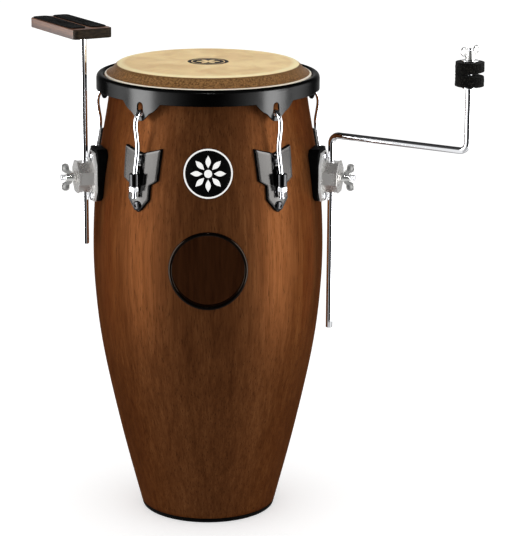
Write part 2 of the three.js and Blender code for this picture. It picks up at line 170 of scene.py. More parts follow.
def softened(points, radius, steps=4, closed=True):
    # each corner becomes a quadratic curve between points `radius` away along its two sides
    most = 0.46   # of a side, so that the curves of two corners never meet
    points = np.asarray(points, float)
    before, after = np.roll(points, 1, axis=0), np.roll(points, -1, axis=0)
    radius = np.broadcast_to(radius, len(points))[:, None]
    back, ahead = before - points, after - points
    back = points + back * np.minimum(radius / np.linalg.norm(back, axis=1)[:, None], most)
    ahead = points + ahead * np.minimum(radius / np.linalg.norm(ahead, axis=1)[:, None], most)
    t = np.linspace(0, 1, steps + 1)[None, :, None]
    curve = (1 - t) ** 2 * back[:, None] + 2 * t * (1 - t) * points[:, None] + t**2 * ahead[:, None]
    if closed:
        return curve.reshape(-1, points.shape[1])
    return np.concatenate([points[:1], curve[1:-1].reshape(-1, points.shape[1]), points[-1:]])


def densified(loop, step, closed=True):
    # extra points so that none are further apart than the step
    ends = np.roll(loop, -1, axis=0) if closed else loop[1:]
    starts = loop if closed else loop[:-1]
    pieces = []
    for start, end in zip(starts, ends):
        count = max(1, math.ceil(np.linalg.norm(end - start) / step))
        pieces.append(start + (end - start) * (np.arange(count) / count)[:, None])
    return np.concatenate(pieces + ([] if closed else [loop[-1:]]))


def inwards(loop):
    # unit normals of a closed anticlockwise outline, pointing in
    run = np.roll(loop, -1, axis=0) - np.roll(loop, 1, axis=0)
    run /= np.linalg.norm(run, axis=1)[:, None]
    return np.stack([-run[:, 1], run[:, 0]], axis=-1)


def revolve(profile, sides, closed=False):
    # the [radius, height] profile carried round the upright
    profile = np.asarray(profile, float)
    angle = np.linspace(0, 2 * np.pi, sides, endpoint=False)
    radius, height = profile[:, 0][:, None], profile[:, 1][:, None]
    points = np.stack([radius * np.cos(angle), radius * np.sin(angle), height + 0 * angle], axis=-1)
    return patch(points, wrapRows=closed, wrapCols=True)


def moved(shape, x=0.0, y=0.0, z=0.0):
    # the same patch somewhere else
    return shape[0] + np.array([x, y, z]), shape[1]


def radially(shape, height=0.0):
    # lays the upright axis along +Y: what was height is now the distance from the drum's axis
    x, y, z = shape[0].T
    return np.stack([x, z, height - y], axis=-1), shape[1]


def pillow(outline, low, high, edge, centre, rings=5, steps=3, lowEdge=None):
    # a flat body inside a star-shaped outline, between two heights that are numbers or functions of the
    # outline's x and z, its edges rounded by quarter circles; returns [x, z, height] points
    lowEdge = edge if lowEdge is None else lowEdge
    normals = inwards(outline)
    centre = np.asarray(centre, float)
    quarter = np.linspace(0, np.pi / 2, steps + 1)
    pole = 1e-6   # share left of the innermost ring, whose points merge
    rows = []

    def ring(loop, surface, drop):
        # one row of points: the loop at the surface's height plus the drop
        height = surface(loop[:, 0], loop[:, 1]) if callable(surface) else surface
        rows.append(np.column_stack([loop, np.broadcast_to(height + drop, len(loop))]))

    inner = outline + normals * lowEdge
    for t in np.linspace(0, 1, rings + 1)[:-1]:
        ring(centre + (inner - centre) * max(t, pole), low, 0)
    for a in quarter:
        ring(outline + normals * lowEdge * (1 - math.sin(a)), low, lowEdge * (1 - math.cos(a)))
    for a in quarter[::-1]:
        ring(outline + normals * edge * (1 - math.sin(a)), high, -edge * (1 - math.cos(a)))
    inner = outline + normals * edge
    for t in np.linspace(1, 0, rings + 1)[1:]:
        ring(centre + (inner - centre) * max(t, pole), high, 0)
    return patch(np.stack(rows), wrapCols=True)


def upright(shape):
    # [x, z, distance] points of a pillow to [x, distance, z]
    return shape[0][:, [0, 2, 1]], shape[1]


def tube(path, radius, side, sides=20, chamfer=0.6, thread=None):
    # a round bar along a path that lies in the plane across `side`; thread = (from, to, pitch, depth) in
    # lengths along the path, where radius falls by depth * (1 + cos(turns - angle)) / 2
    path, side = np.asarray(path, float), np.asarray(side, float)
    run = np.gradient(path, axis=0)
    run /= np.linalg.norm(run, axis=1)[:, None]
    length = np.concatenate([[0], np.cumsum(np.linalg.norm(np.diff(path, axis=0), axis=1))])
    angle = np.linspace(0, 2 * np.pi, sides, endpoint=False)
    radii = np.broadcast_to(radius, len(path)).astype(float)[:, None] + np.zeros(sides)
    if thread:
        start, end, pitch, depth = thread
        fade = np.clip((length - start) / pitch, 0, 1) * np.clip((end - length) / pitch, 0, 1)
        wave = (1 + np.cos(2 * np.pi * length[:, None] / pitch - angle)) / 2
        radii -= fade[:, None] * depth * wave
    normal = np.cross(run, side)
    first = [path[0], path[0], path[0] + chamfer * run[0]]
    last = [path[-1] - chamfer * run[-1], path[-1], path[-1]]
    centres = np.concatenate([first, path[1:-1], last])
    normals = np.concatenate([normal[:1]] * 3 + [normal[1:-1]] + [normal[-1:]] * 3)
    startRadii, endRadii = radii[0], radii[-1]
    tips = [startRadii * 1e-5, startRadii - chamfer, startRadii]
    tails = [endRadii, endRadii - chamfer, endRadii * 1e-5]
    radii = np.concatenate([np.stack(tips), radii[1:-1], np.stack(tails)])[..., None]
    around = np.cos(angle)[None, :, None] * side + np.sin(angle)[None, :, None] * normals[:, None]
    return patch(centres[:, None] + radii * around, wrapCols=True)


def threadedPath(start, end, pitch, perTurn=7):
    # points of a straight piece, close enough to show its thread
    start, end = np.asarray(start, float), np.asarray(end, float)
    count = max(4, int(perTurn * np.linalg.norm(end - start) / pitch))
    return start + (end - start) * np.linspace(0, 1, count)[:, None]


def windowLoop(rows, cols):
    # indices of the border of a window in a grid, anticlockwise from its lower left corner
    r0, r1, c0, c1 = rows[0], rows[1], cols[0], cols[1]
    bottom = [(r0, c) for c in range(c0, c1)]
    right = [(r, c1) for r in range(r0, r1)]
    top = [(r1, c) for c in range(c1, c0, -1)]
    left = [(r, c0) for r in range(r1, r0, -1)]
    return np.array(bottom + right + top + left)


def outsideWindow(faces, count, rows, cols):
    # which faces of a grid with that many columns lie outside a window of its rows and columns
    r, c = faces[:, 0] // count, faces[:, 0] % count
    return ~((r >= rows[0]) & (r < rows[1]) & (c >= cols[0]) & (c < cols[1]))


def between(border, hole, rings=6):
    # rows from a window's border to a hole's edge, on the straight lines between their points
    return border + (hole - border) * np.linspace(0, 1, rings + 1)[:, None, None]


def ringStack(rows, sides):
    # rows of (radius, height) about the upright; a radius is one number, or one for each side
    angle = np.linspace(0, 2 * np.pi, sides, endpoint=False)
    radius = np.stack([np.broadcast_to(r, sides) for r, z in rows])
    height = np.repeat([[z] for r, z in rows], sides, axis=1)
    return np.stack([radius * np.cos(angle), radius * np.sin(angle), height], axis=-1)


def hexagonRadius(half, sides):
    # from a hexagon's centre to its edge: half its width across the flats over the cosine within a sixth
    angle = np.linspace(0, 2 * np.pi, sides, endpoint=False)
    return half / np.cos(np.mod(angle, np.pi / 3) - np.pi / 6)


def circle(radius, count, centre=(0.0, 0.0)):
    # evenly spaced points, anticlockwise
    angle = np.linspace(0, 2 * np.pi, count, endpoint=False)
    return np.column_stack([radius * np.cos(angle), radius * np.sin(angle)]) + centre


def wornCopy(node, bevel, segments=3, angle=25):
    # the CAD solid merged to plain faces, its edges rounded by a live bevel
    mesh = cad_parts[node].data.copy()
    mesh.materials.clear()
    work = bmesh.new()
    work.from_mesh(mesh)
    bmesh.ops.remove_doubles(work, verts=work.verts, dist=2e-6)
    bmesh.ops.dissolve_limit(work, angle_limit=math.radians(1), verts=work.verts, edges=work.edges)
    bmesh.ops.recalc_face_normals(work, faces=work.faces)
    work.to_mesh(mesh)
    work.free()
    mesh.shade_smooth()
    mesh.set_sharp_from_angle(angle=math.radians(30))
    item = bpy.data.objects.new("fine_" + node, mesh)
    bpy.context.scene.collection.objects.link(item)
    rounding = item.modifiers.new("rounding", "BEVEL")
    rounding.width = bevel * 0.001
    rounding.segments = segments
    rounding.limit_method = "ANGLE"
    rounding.angle_limit = math.radians(angle)
    rounding.harden_normals = True
    return item


def linear(color):
    # sRGB 0..255 to scene-linear
    c = np.asarray(color, float) / 255
    return tuple(np.where(c <= 0.04045, c / 12.92, ((c + 0.055) / 1.055) ** 2.4)) + (1.0,)


# One node material: each call adds a node and gives its output
class Finish:
    def __init__(self, name, **settings):
        # a setting is a socket of the shader, with _ for each space of its name
        self.material = bpy.data.materials.new(name)
        self.material.use_nodes = True
        self.tree = self.material.node_tree
        self.shader = self.tree.nodes["Principled BSDF"]
        for socket, value in settings.items():
            self.shader.inputs[socket.replace("_", " ")].default_value = value
        self.coords = self.tree.nodes.new("ShaderNodeTexCoord").outputs["Object"]

    def node(self, kind, inputs=(), output=0, **settings):
        # an input is linked where it is another node's output, and set where it is a value
        node = self.tree.nodes.new("ShaderNode" + kind)
        for key, value in settings.items():
            setattr(node, key, value)
        for key, value in dict(inputs).items():
            if hasattr(value, "is_output"):
                self.tree.links.new(value, node.inputs[key])
            else:
                node.inputs[key].default_value = value
        return node.outputs[output]

    def mapped(self, scale, place=(0, 0, 0), turn=(0, 0, 0), coords=None):
        # coordinates turned, scaled and moved
        source = self.coords if coords is None else coords
        return self.node("Mapping", {"Vector": source, "Scale": scale, "Location": place, "Rotation": turn})

    def noise(self, coords, scale, detail=3.0, roughness=0.5, distortion=0.0):
        # a cloud of values from 0 to 1, the scale in cells to the metre
        settings = {"Vector": coords, "Scale": scale, "Detail": detail, "Roughness": roughness}
        return self.node("TexNoise", {**settings, "Distortion": distortion})

    def ramp(self, factor, stops):
        # a colour for each place from 0 to 1
        node = self.tree.nodes.new("ShaderNodeValToRGB")
        self.tree.links.new(factor, node.inputs["Fac"])
        while len(node.color_ramp.elements) < len(stops):
            node.color_ramp.elements.new(0.5)
        for element, (place, color) in zip(node.color_ramp.elements, stops):
            element.position = place
            element.color = linear(color)
        return node.outputs["Color"]

    def grey(self, factor, low, high, fromLow=0.0, fromHigh=1.0):
        # a straight line from (fromLow, low) to (fromHigh, high), level beyond its ends
        inputs = {"Value": factor, "From Min": fromLow, "From Max": fromHigh, "To Min": low, "To Max": high}
        return self.node("MapRange", inputs)

    def mixed(self, factor, a, b):
        # colour a where the factor is 0, b where it is 1
        return self.node("Mix", {0: factor, 6: a, 7: b}, output=2, data_type="RGBA")

    def maths(self, operation, a, b=0.0):
        # one operation on two outputs or numbers
        return self.node("Math", {0: a, 1: b}, operation=operation)

    def weighted(self, *terms):
        # the sum of each output times its weight
        products = [self.maths("MULTIPLY", value, weight) for value, weight in terms]
        total = products[0]
        for product in products[1:]:
            total = self.maths("ADD", total, product)
        return total

    def bump(self, height, strength, distance, below=None):
        # a relief of that distance in metres between heights 0 and 1, laid over the one below
        inputs = {"Height": height, "Strength": strength, "Distance": distance}
        if below is not None:
            inputs["Normal"] = below
        return self.node("Bump", inputs)

    def link(self, output, socket):
        # an output into a socket of the shader
        self.tree.links.new(output, self.shader.inputs[socket])
        return self


def makeStainedWood():
    # upright grain: noise squeezed along Z, broad for bands, fine for fibres and streaks, finest for pores
    look = {"dark": (72, 40, 20), "middle": (91, 54, 29), "light": (112, 71, 41), "pore": (46, 25, 12)}
    tint = (0.35, 0.14, 0.06, 1)
    wood = Finish("stained_wood", Metallic=0.35, Specular_IOR_Level=0.0, Specular_Tint=tint)
    bands = wood.noise(wood.mapped((1, 1, 0.10)), 16, 3, 0.55, 0.4)
    fibres = wood.noise(wood.mapped((1, 1, 0.022)), 420, 5, 0.62)
    streaks = wood.noise(wood.mapped((1, 1, 0.035), (0.3, 0.1, 0)), 130, 4, 0.6)
    pores = wood.noise(wood.mapped((1, 1, 0.045), (0, 0.4, 0.2)), 900, 2, 0.5)
    tone = wood.weighted((bands, 0.3), (streaks, 0.35), (fibres, 0.35))
    color = wood.ramp(tone, [(0.36, look["dark"]), (0.5, look["middle"]), (0.68, look["light"])])
    holes = wood.grey(pores, 0, 1, 0.60, 0.68)
    color = wood.mixed(wood.maths("MULTIPLY", holes, 0.7), color, linear(look["pore"]))
    wood.link(color, "Base Color")
    relief = wood.maths("SUBTRACT", wood.maths("MULTIPLY", fibres, 0.4), holes)
    wood.link(wood.bump(relief, 0.18, 0.0006), "Normal")
    wood.link(wood.grey(fibres, 0.36, 0.46, 0.3, 0.7), "Roughness")
    return wood.material


def makeInnerWood():
    # the same timber bare and dusty inside, with a faint painted glow in its own colours that stands in for
    # the light reaching into the shell
    wood = Finish("inner_wood", Roughness=0.75, Emission_Strength=0.12)
    streaks = wood.noise(wood.mapped((1, 1, 0.04)), 150, 5, 0.6)
    bands = wood.noise(wood.mapped((1, 1, 0.1)), 22, 3, 0.5)
    tone = wood.weighted((streaks, 0.5), (bands, 0.5))
    color = wood.ramp(tone, [(0.35, (72, 38, 18)), (0.65, (120, 74, 42))])
    wood.link(color, "Base Color")
    # painted glow: the timber's colour given off as light
    wood.link(color, "Emission Color")
    wood.link(wood.bump(streaks, 0.3, 0.0006), "Normal")
    return wood.material


def makeBoardWood(direction):
    # walnut along the board: noise squeezed along the board's length
    wood = Finish("board_wood", Roughness=0.38, Coat_Weight=0.25, Coat_Roughness=0.22)
    along = wood.mapped((1, 1, 1), turn=(0, 0, -math.radians(direction)))
    squeezed = wood.mapped((0.06, 1, 1), coords=along)
    fibres = wood.noise(squeezed, 420, 5, 0.6)
    bands = wood.noise(squeezed, 60, 3, 0.55, 0.8)
    pores = wood.noise(squeezed, 900, 2, 0.5)
    tone = wood.weighted((bands, 0.6), (fibres, 0.4))
    color = wood.ramp(tone, [(0.36, (62, 34, 20)), (0.52, (108, 66, 42)), (0.68, (144, 96, 62))])
    holes = wood.grey(pores, 0, 1, 0.60, 0.68)
    wood.link(wood.mixed(wood.maths("MULTIPLY", holes, 0.6), color, linear((28, 15, 9))), "Base Color")
    wood.link(wood.bump(wood.maths("SUBTRACT", fibres, holes), 0.2, 0.0005), "Normal")
    return wood.material


def makeEndGrainAndShade():
    # the board's sawn ends: close dark rings seen end on, darkened past the wood's own tone as painted shade
    wood = Finish("end_grain_and_shade", Roughness=0.6, Specular_IOR_Level=0.1)
    rings = wood.noise(wood.mapped((1, 1, 3)), 160, 4, 0.6, 0.5)
    wood.link(wood.ramp(rings, [(0.35, (22, 15, 8)), (0.65, (52, 40, 25))]), "Base Color")
    wood.link(wood.bump(rings, 0.2, 0.0004), "Normal")
    return wood.material


def makeHide():
    # tan skin in rings about its middle: soft mottle on top, a painted highlight ring along the bearing edge,
    # then darker and grainy where it turns down, a painted shadow just below the edge, a pale lip painted as
    # a highlight, and a printed disc of six petals in a ring
    look = {
        "top": (226, 190, 134), "pale": (244, 216, 162), "side": (156, 112, 62), "deep": (88, 56, 22),
        # the edge colour is a painted highlight on the bearing edge, the next one a painted shadow just below
        # it, the lip's a painted highlight
        "edge": (255, 240, 190), "edgeShadow": (100, 66, 28), "lipHighlight": (244, 234, 216), "ink": (22, 19, 17),
    }
    reach = {   # metres from the middle, where each ring rises and falls
        "edge": (0.1165, 0.1225, 0.1275, 0.1292), "turn": (0.1279, 0.129),
        "edgeShadow": (0.1285, 0.1292, 0.1294, 0.1318), "lipHighlight": (0.1432, 0.1438),
    }
    mark = {"halfPetals": 3.0, "petal": 0.0135, "hub": 0.003, "ring": (0.0222, 0.0238), "disc": 0.029}
    tint = (1, 0.7, 0.45, 1)
    hide = Finish("hide", Roughness=0.5, Specular_Tint=tint, Subsurface_Weight=0.06, Subsurface_Scale=0.004)
    shifted = hide.mapped((1, 1, 1), (-axisX / 1000, -axisY / 1000, 0))
    parts = hide.tree.nodes.new("ShaderNodeSeparateXYZ")
    hide.tree.links.new(shifted, parts.inputs[0])
    flat = hide.node("CombineXYZ", {0: parts.outputs[0], 1: parts.outputs[1]})
    radius = hide.node("VectorMath", {0: flat}, output=1, operation="LENGTH")

    def ring(strength, rise, full, ease, end):
        # 0 within the first radius, the strength from the second to the third, 0 again past the last
        rising = hide.grey(radius, 0, strength, rise, full)
        return hide.maths("MULTIPLY", rising, hide.grey(radius, 1, 0, ease, end))

    mottle = hide.noise(shifted, 28, 5, 0.62, 0.6)
    grain = hide.noise(shifted, 420, 4, 0.65)
    top = hide.ramp(mottle, [(0.35, look["top"]), (0.65, look["pale"])])
    side = hide.ramp(grain, [(0.38, look["deep"]), (0.62, look["side"])])
    # painted shadow: a dark ring just below the bearing edge, laid over the turned-down side
    side = hide.mixed(ring(0.6, *reach["edgeShadow"]), side, linear(look["edgeShadow"]))
    color = hide.mixed(hide.grey(radius, 0, 1, *reach["turn"]), top, side)
    # painted highlight: a pale ring along the bearing edge
    color = hide.mixed(ring(0.75, *reach["edge"]), color, linear(look["edge"]))
    # painted highlight: everything past the lip's radius, the flesh hoop too, turns pale
    color = hide.mixed(hide.grey(radius, 0, 1, *reach["lipHighlight"]), color, linear(look["lipHighlight"]))

    angle = hide.maths("ARCTAN2", parts.outputs[1], parts.outputs[0])
    wave = hide.node("Math", {0: hide.maths("MULTIPLY", angle, mark["halfPetals"])}, operation="COSINE")
    sizes = {0: hide.maths("ABSOLUTE", wave), 1: mark["petal"], 2: mark["hub"]}
    leaf = hide.node("Math", sizes, operation="MULTIPLY_ADD")
    rosette = hide.maths("LESS_THAN", radius, leaf)
    tests = zip(("GREATER_THAN", "LESS_THAN"), mark["ring"])
    band = hide.maths("MULTIPLY", *[hide.maths(test, radius, at) for test, at in tests])
    printed = hide.maths("SUBTRACT", 1.0, hide.maths("MAXIMUM", rosette, band))
    disc = hide.maths("MULTIPLY", hide.maths("LESS_THAN", radius, mark["disc"]), printed)
    hide.link(hide.mixed(disc, color, linear(look["ink"])), "Base Color")
    hide.link(hide.bump(grain, 0.25, 0.0006, hide.bump(mottle, 0.2, 0.002)), "Normal")
    hide.link(hide.grey(mottle, 0.42, 0.58, 0.35, 0.65), "Roughness")
    return hide.material


def makeMetal(name, color, low, high, scale, relief=0.0, metallic=1.0, **settings):
    # plated metal with a faint cloud in its gloss
    metal = Finish(name, Metallic=metallic, Base_Color=linear(color), **settings)
    cloud = metal.noise(metal.coords, scale, 4, 0.6)
    metal.link(metal.grey(cloud, low, high, 0.3, 0.7), "Roughness")
    if relief:
        metal.link(metal.bump(cloud, relief, 0.0003), "Normal")
    return metal.material


def makeRubber():
    # nearly black, its gloss clouded and its skin finely grained
    rubber = Finish("rubber", Specular_IOR_Level=0.03)
    grain = rubber.noise(rubber.coords, 900, 3, 0.6)
    cloud = rubber.noise(rubber.coords, 45, 3, 0.5)
    rubber.link(rubber.ramp(cloud, [(0.3, (2, 2, 2)), (0.7, (7, 7, 7))]), "Base Color")
    rubber.link(rubber.grey(cloud, 0.5, 0.7, 0.3, 0.7), "Roughness")
    rubber.link(rubber.bump(grain, 0.15, 0.0003), "Normal")
    return rubber.material


def makeTrim(name, color, roughness, **settings):
    # moulded trim with a trace of orange peel
    trim = Finish(name, Base_Color=linear(color), **settings)
    peel = trim.noise(trim.coords, 260, 2, 0.5)
    trim.link(trim.grey(peel, roughness * 0.8, roughness * 1.3, 0.3, 0.7), "Roughness")
    trim.link(trim.bump(peel, 0.05, 0.0004), "Normal")
    return trim.material


def makeFelt():
    # matted black wool: tufts under fine fibres, with pale flecks
    felt = Finish("felt", Roughness=1.0, Specular_IOR_Level=0.05, Sheen_Weight=0.08, Sheen_Roughness=0.5)
    fibres = felt.noise(felt.coords, 1500, 4, 0.7, 1.2)
    tufts = felt.noise(felt.coords, 380, 3, 0.6, 0.8)
    flecks = felt.grey(felt.noise(felt.coords, 760, 2, 0.6, 0.6), 0, 0.55, 0.56, 0.66)
    base = felt.ramp(tufts, [(0.4, (1, 1, 1)), (0.72, (10, 10, 10))])
    felt.link(felt.mixed(flecks, base, linear((74, 70, 62))), "Base Color")
    felt.link(felt.bump(fibres, 0.7, 0.0006, felt.bump(tufts, 0.8, 0.0018)), "Normal")
    return felt.material


def makeGripFabric():
    # short hooked pile: one raised cell per hook
    sheen = {"Sheen_Weight": 0.04, "Sheen_Roughness": 0.4}
    grip = Finish("grip_fabric", Roughness=0.85, Specular_IOR_Level=0.08, **sheen)
    cells = grip.node("TexVoronoi", {"Vector": grip.coords, "Scale": 900.0})
    cloud = grip.noise(grip.coords, 160, 3, 0.6)
    grip.link(grip.ramp(cloud, [(0.3, (1, 1, 1)), (0.7, (6, 6, 6))]), "Base Color")
    grip.link(grip.bump(cells, 0.6, 0.0008), "Normal")
    return grip.material


stainedWood = makeStainedWood()
innerWood = makeInnerWood()
endGrainAndShade = makeEndGrainAndShade()
hide = makeHide()
blackPlate = makeMetal("black_plate", (47, 47, 47), 0.2, 0.25, 40, 0.03, Specular_Tint=(0.4, 0.4, 0.4, 1))
lugPlate = makeMetal("lug_plate", (58, 57, 56), 0.16, 0.21, 40, 0.03)
brightPlate = makeMetal("bright_plate", (238, 239, 242), 0.05, 0.11, 60)
satinPlate = makeMetal("satin_plate", (216, 214, 211), 0.24, 0.32, 50, metallic=0.75)
castPlate = makeMetal("cast_plate", (238, 238, 236), 0.06, 0.12, 90, metallic=0.82)
# a whiter, more matt copy of the satin plating for the bracket's base flange: a painted highlight
basePlateHighlight = makeMetal("base_plate_highlight", (252, 252, 250), 0.3, 0.38, 50, metallic=0.35)
boltSteel = makeMetal("bolt_steel", (52, 52, 53), 0.12, 0.18, 120)
barrelSteel = makeMetal("barrel_steel", (56, 56, 57), 0.1, 0.15, 80)
rubber = makeRubber()
darkTrim = makeTrim("dark_trim", (5, 5, 5), 0.22, Specular_IOR_Level=0.3)
portTrim = makeTrim("port_trim", (4, 3, 3), 0.12, Specular_IOR_Level=0.12, Specular_Tint=(1, 0.7, 0.5, 1))
# white enamel with a faint painted glow that keeps it bright however it is lit
glowingWhiteEnamel = makeTrim(
    "white_enamel", (252, 252, 250), 0.3, Emission_Color=(1, 1, 1, 1), Emission_Strength=0.16,
)
feltCloth = makeFelt()
gripFabric = makeGripFabric()
print("finishes made")


# Shell: the outer radius is a curve through points of [radius, height]
shell = {
    "curve": [
        (98, 6.4), (126.7, 120), (151.9, 240), (162.6, 330), (164.5, 410), (158.2, 500), (141.8, 600),
        (137.4, 638),
    ],
    "wall": 11, "chamfer": 1.0, "bare": {"depth": 8, "top": 640},   # the inner wood lies deeper and lower
    "bearing": [(136.2, 640.4), (133.4, 645), (130.4, 648.8), (128, 650.4), (126.6, 649.4), (126.3, 646)],
    "columns": 288, "step": 6.0, "port": 392.3, "hole": 51.8, "window": 62,
}
shellLine = catmull(shell["curve"], 400)


def shellRadius(z):
    # the curve read at a height
    return np.interp(z, shellLine[:, 1], shellLine[:, 0])


def shellDepth(x, z, lift):
    # how far out, at x across, the surface lies that is a lift away from the shell
    return np.sqrt((shellRadius(z) + lift) ** 2 - x**2)


def onShell(points, lift):
    # [x, z] across the drum's radius to the surface a lift away from the shell
    x, z = points[..., 0], points[..., 1]
    return np.stack([x, shellDepth(x, z, lift), z], axis=-1)


def makeShell():
    # outer face, bearing edge, inner face and foot as a closed profile carried round, with the port cut
    # out of both faces: a window of the grid is filled by rings that end in the round hole
    count, wall, port, step, chamfer = [shell[key] for key in ("columns", "wall", "port", "step", "chamfer")]
    foot, brimFoot, bare = shell["curve"][0][1], shell["curve"][-1], shell["bare"]
    regular = np.arange(foot + chamfer + step, brimFoot[1] - step / 3, step)
    heights = np.concatenate([[foot, foot + chamfer], regular, [brimFoot[1]]])
    angle = np.linspace(-np.pi, np.pi, count, endpoint=False)

    def wallRows(lift, drawnIn):
        # a ring of points at each height, the lift away from the shell's curve, the lowest one drawn in
        radius = shellRadius(heights) + lift
        radius[0] -= drawnIn
        across, along = radius[:, None] * np.sin(angle), radius[:, None] * np.cos(angle)
        return np.stack([across, along, np.repeat(heights[:, None], count, 1)], axis=-1)

    window = np.array([-shell["window"], shell["window"]])
    rows = np.searchsorted(heights, port + window)
    cols = np.searchsorted(angle, window / shellRadius(port))
    border = windowLoop(rows, cols)
    outer, inner = wallRows(0, chamfer), wallRows(-wall, 0)
    outerLoop, innerLoop = [face[border[:, 0], border[:, 1]][:, [0, 2]] for face in (outer, inner)]
    toward = outerLoop - [0, port]
    hole = toward / np.linalg.norm(toward, axis=1)[:, None] * shell["hole"] + [0, port]
    faces = gridFaces(len(heights), count, wrapCols=True)
    faces = faces[outsideWindow(faces, count, rows, cols)]
    brim = np.array([brimFoot, *shell["bearing"], (brimFoot[0] - wall, brimFoot[1])], float)
    brimPoints, brimFaces = revolve(densified(brim, 1.5, closed=False), count)
    patches = [
        (outer.reshape(-1, 3), faces), (turned(brimPoints, 90), brimFaces),
        patch(onShell(between(outerLoop, hole), 0), wrapCols=True),
        (inner.reshape(-1, 3), faces), patch(np.stack([outer[0], inner[0]]), wrapCols=True),
        patch(np.stack([onShell(hole, 0), onShell(hole, -wall)]), wrapCols=True),
        patch(onShell(between(innerLoop, hole), -wall), wrapCols=True),
    ]
    item = replaceNode("shell", atAzimuth(patches, 0), stainedWood, "drum")
    centres = faceValues(item, "center") * 1000 - [axisX, axisY, 0]
    depth = shellRadius(centres[:, 2]) - np.hypot(centres[:, 0], centres[:, 1])
    secondMaterial(item, innerWood, (depth > bare["depth"]) & (centres[:, 2] < bare["top"]))


makeShell()
print("shell made")


def roundAbout(profile, height, count=96):
    # a closed profile of [distance from the centre, lift from the shell] carried round a point of the shell
    profile = np.asarray(profile, float)
    angle = np.linspace(0, 2 * np.pi, count, endpoint=False)
    x = profile[:, 0][:, None] * np.cos(angle)
    z = height + profile[:, 0][:, None] * np.sin(angle)
    lift = np.repeat(profile[:, 1][:, None], count, axis=1)
    return np.stack([x, shellDepth(x, z, lift), z], axis=-1)


portRing = {"hole": 50, "flange": 55, "sleeve": 51.4, "seat": 0.3, "foot": 0.6, "rise": 2.0, "depth": 11}


def makePortRing():
    # a half-round bead on the shell, its section an ellipse, with a thin sleeve through the wall
    p = portRing
    t = np.linspace(0, np.pi, 17)
    middle, half = (p["hole"] + p["flange"]) / 2, (p["flange"] - p["hole"]) / 2
    bead = np.column_stack([middle + half * np.cos(t), p["foot"] + p["rise"] * np.sin(t)])
    inner, outer, seat = (p["hole"], -p["depth"]), (p["sleeve"], -p["depth"]), p["seat"]
    sleeve = [inner, outer, (p["sleeve"], seat), (p["flange"], seat)]
    profile = densified(np.concatenate([sleeve, bead]), 2.0)
    ring = patch(roundAbout(profile, shell["port"], 120), wrapRows=True, wrapCols=True)
    replaceNode("port_ring", atAzimuth([ring], 0), portTrim, "drum")


badge = {
    "radius": 33.6, "height": 527, "depth": 1.6, "border": 2.3, "petals": 8, "hub": 5.4,
    "petal": {"near": 7.5, "far": 24.5, "half": 3.6}, "sunk": 0.9,
}


def shellPillow(outline, centre, low, high, edge, rings=5):
    # a pillow whose low and high faces follow the shell at these lifts; outline and centre are [x, z]
    faces = [partial(shellDepth, lift=lift) for lift in (low, high)]
    return upright(pillow(outline, *faces, edge, centre, rings))


def petalLoop(spin):
    # a pointed petal: half its width times sin ** 1.2 of the way along it, turned about the badge's centre
    p = badge["petal"]
    t = np.linspace(0, np.pi, 13)
    side = np.column_stack([p["half"] * np.sin(t) ** 1.2, p["near"] + (p["far"] - p["near"]) * t / np.pi])
    turn = np.array([[math.cos(spin), math.sin(spin)], [-math.sin(spin), math.cos(spin)]])
    return np.concatenate([side, side[-2:0:-1] * [-1, 1]]) @ turn


def makeBadge():
    # a dark disc with a white border and a plain rosette of pointed petals
    middle, top, sunk = (0, badge["height"]), badge["depth"], badge["sunk"]
    disc = shellPillow(circle(badge["radius"], 96, middle), middle, 0.3, top - 0.15, 0.4, 10)
    replaceNode("badge", atAzimuth([disc], 0), darkTrim, "drum")
    outer, inner = badge["radius"] - 0.1, badge["radius"] - badge["border"]
    profile = softened([(outer, sunk), (outer, top), (inner, top), (inner, sunk)], 0.2, 3)
    marks = [patch(roundAbout(profile, badge["height"], 96), wrapRows=True, wrapCols=True)]
    marks.append(shellPillow(circle(badge["hub"], 32, middle), middle, sunk, top, 0.15))
    for i in range(badge["petals"]):
        loop = petalLoop(2 * np.pi * i / badge["petals"])
        marks.append(shellPillow(loop + middle, loop.mean(axis=0) + middle, sunk, top, 0.12))
    # the inlay takes the white enamel with its painted glow
    addPiece("badge_inlay", atAzimuth(marks, 0), glowingWhiteEnamel, "drum")


makePortRing()
makeBadge()
print("port ring and badge made")


skin = {
    "outside": [
        (0, 655.9), (60, 655.8), (118, 655.4), (126, 655), (129, 653.6), (133.8, 648.6), (138.2, 643.2),
        (140.8, 641.3), (144.4, 641), (146, 640), (146, 638.4), (145.6, 635.6),
    ],
    "inside": [
        (144.4, 635.6), (144.6, 639), (140.2, 639.8), (137, 642.2), (132.8, 647.8), (128.2, 652.2),
        (122, 653.6), (0, 654),
    ],
    "columns": 240, "wave": 0.2, "slant": (131, 135, 138, 141), "still": 650, "pulled": 639.4,
}


def makeSkin():
    # a closed profile carried round: flat top, rounded over the bearing edge, slanting down to the hoop,
    # with shallow pleats on the slant only, the sum of two sine waves with unsteady lengths
    outside = densified(softened(skin["outside"], 1.6, 4, closed=False), 1.6, closed=False)
    inside = densified(np.array(skin["inside"], float), 3.0, closed=False)
    points, faces = revolve(np.concatenate([outside, inside]), skin["columns"])
    radius = np.hypot(points[:, 0], points[:, 1])
    angle = np.arctan2(points[:, 1], points[:, 0])
    start, full, ease, end = skin["slant"]
    share = np.clip((radius - start) / (full - start), 0, 1) * np.clip((end - radius) / (end - ease), 0, 1)
    pleats = np.sin(41 * angle + 1.3 * np.sin(7 * angle)) + 0.6 * np.sin(67 * angle + 2 * np.sin(5 * angle))
    points[:, 2] += skin["wave"] * share * pleats
    item = replaceNode("head_skin", [moved((points, faces), axisX, axisY)], hide, None, sharp=60)
    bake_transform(item)


fleshHoop = {"inner": 146.4, "outer": 153.6, "foot": 628, "top": 634, "lap": (152, 632.6)}
footRing = {"inner": 86, "outer": 96.2, "widest": 97.8, "top": 6}


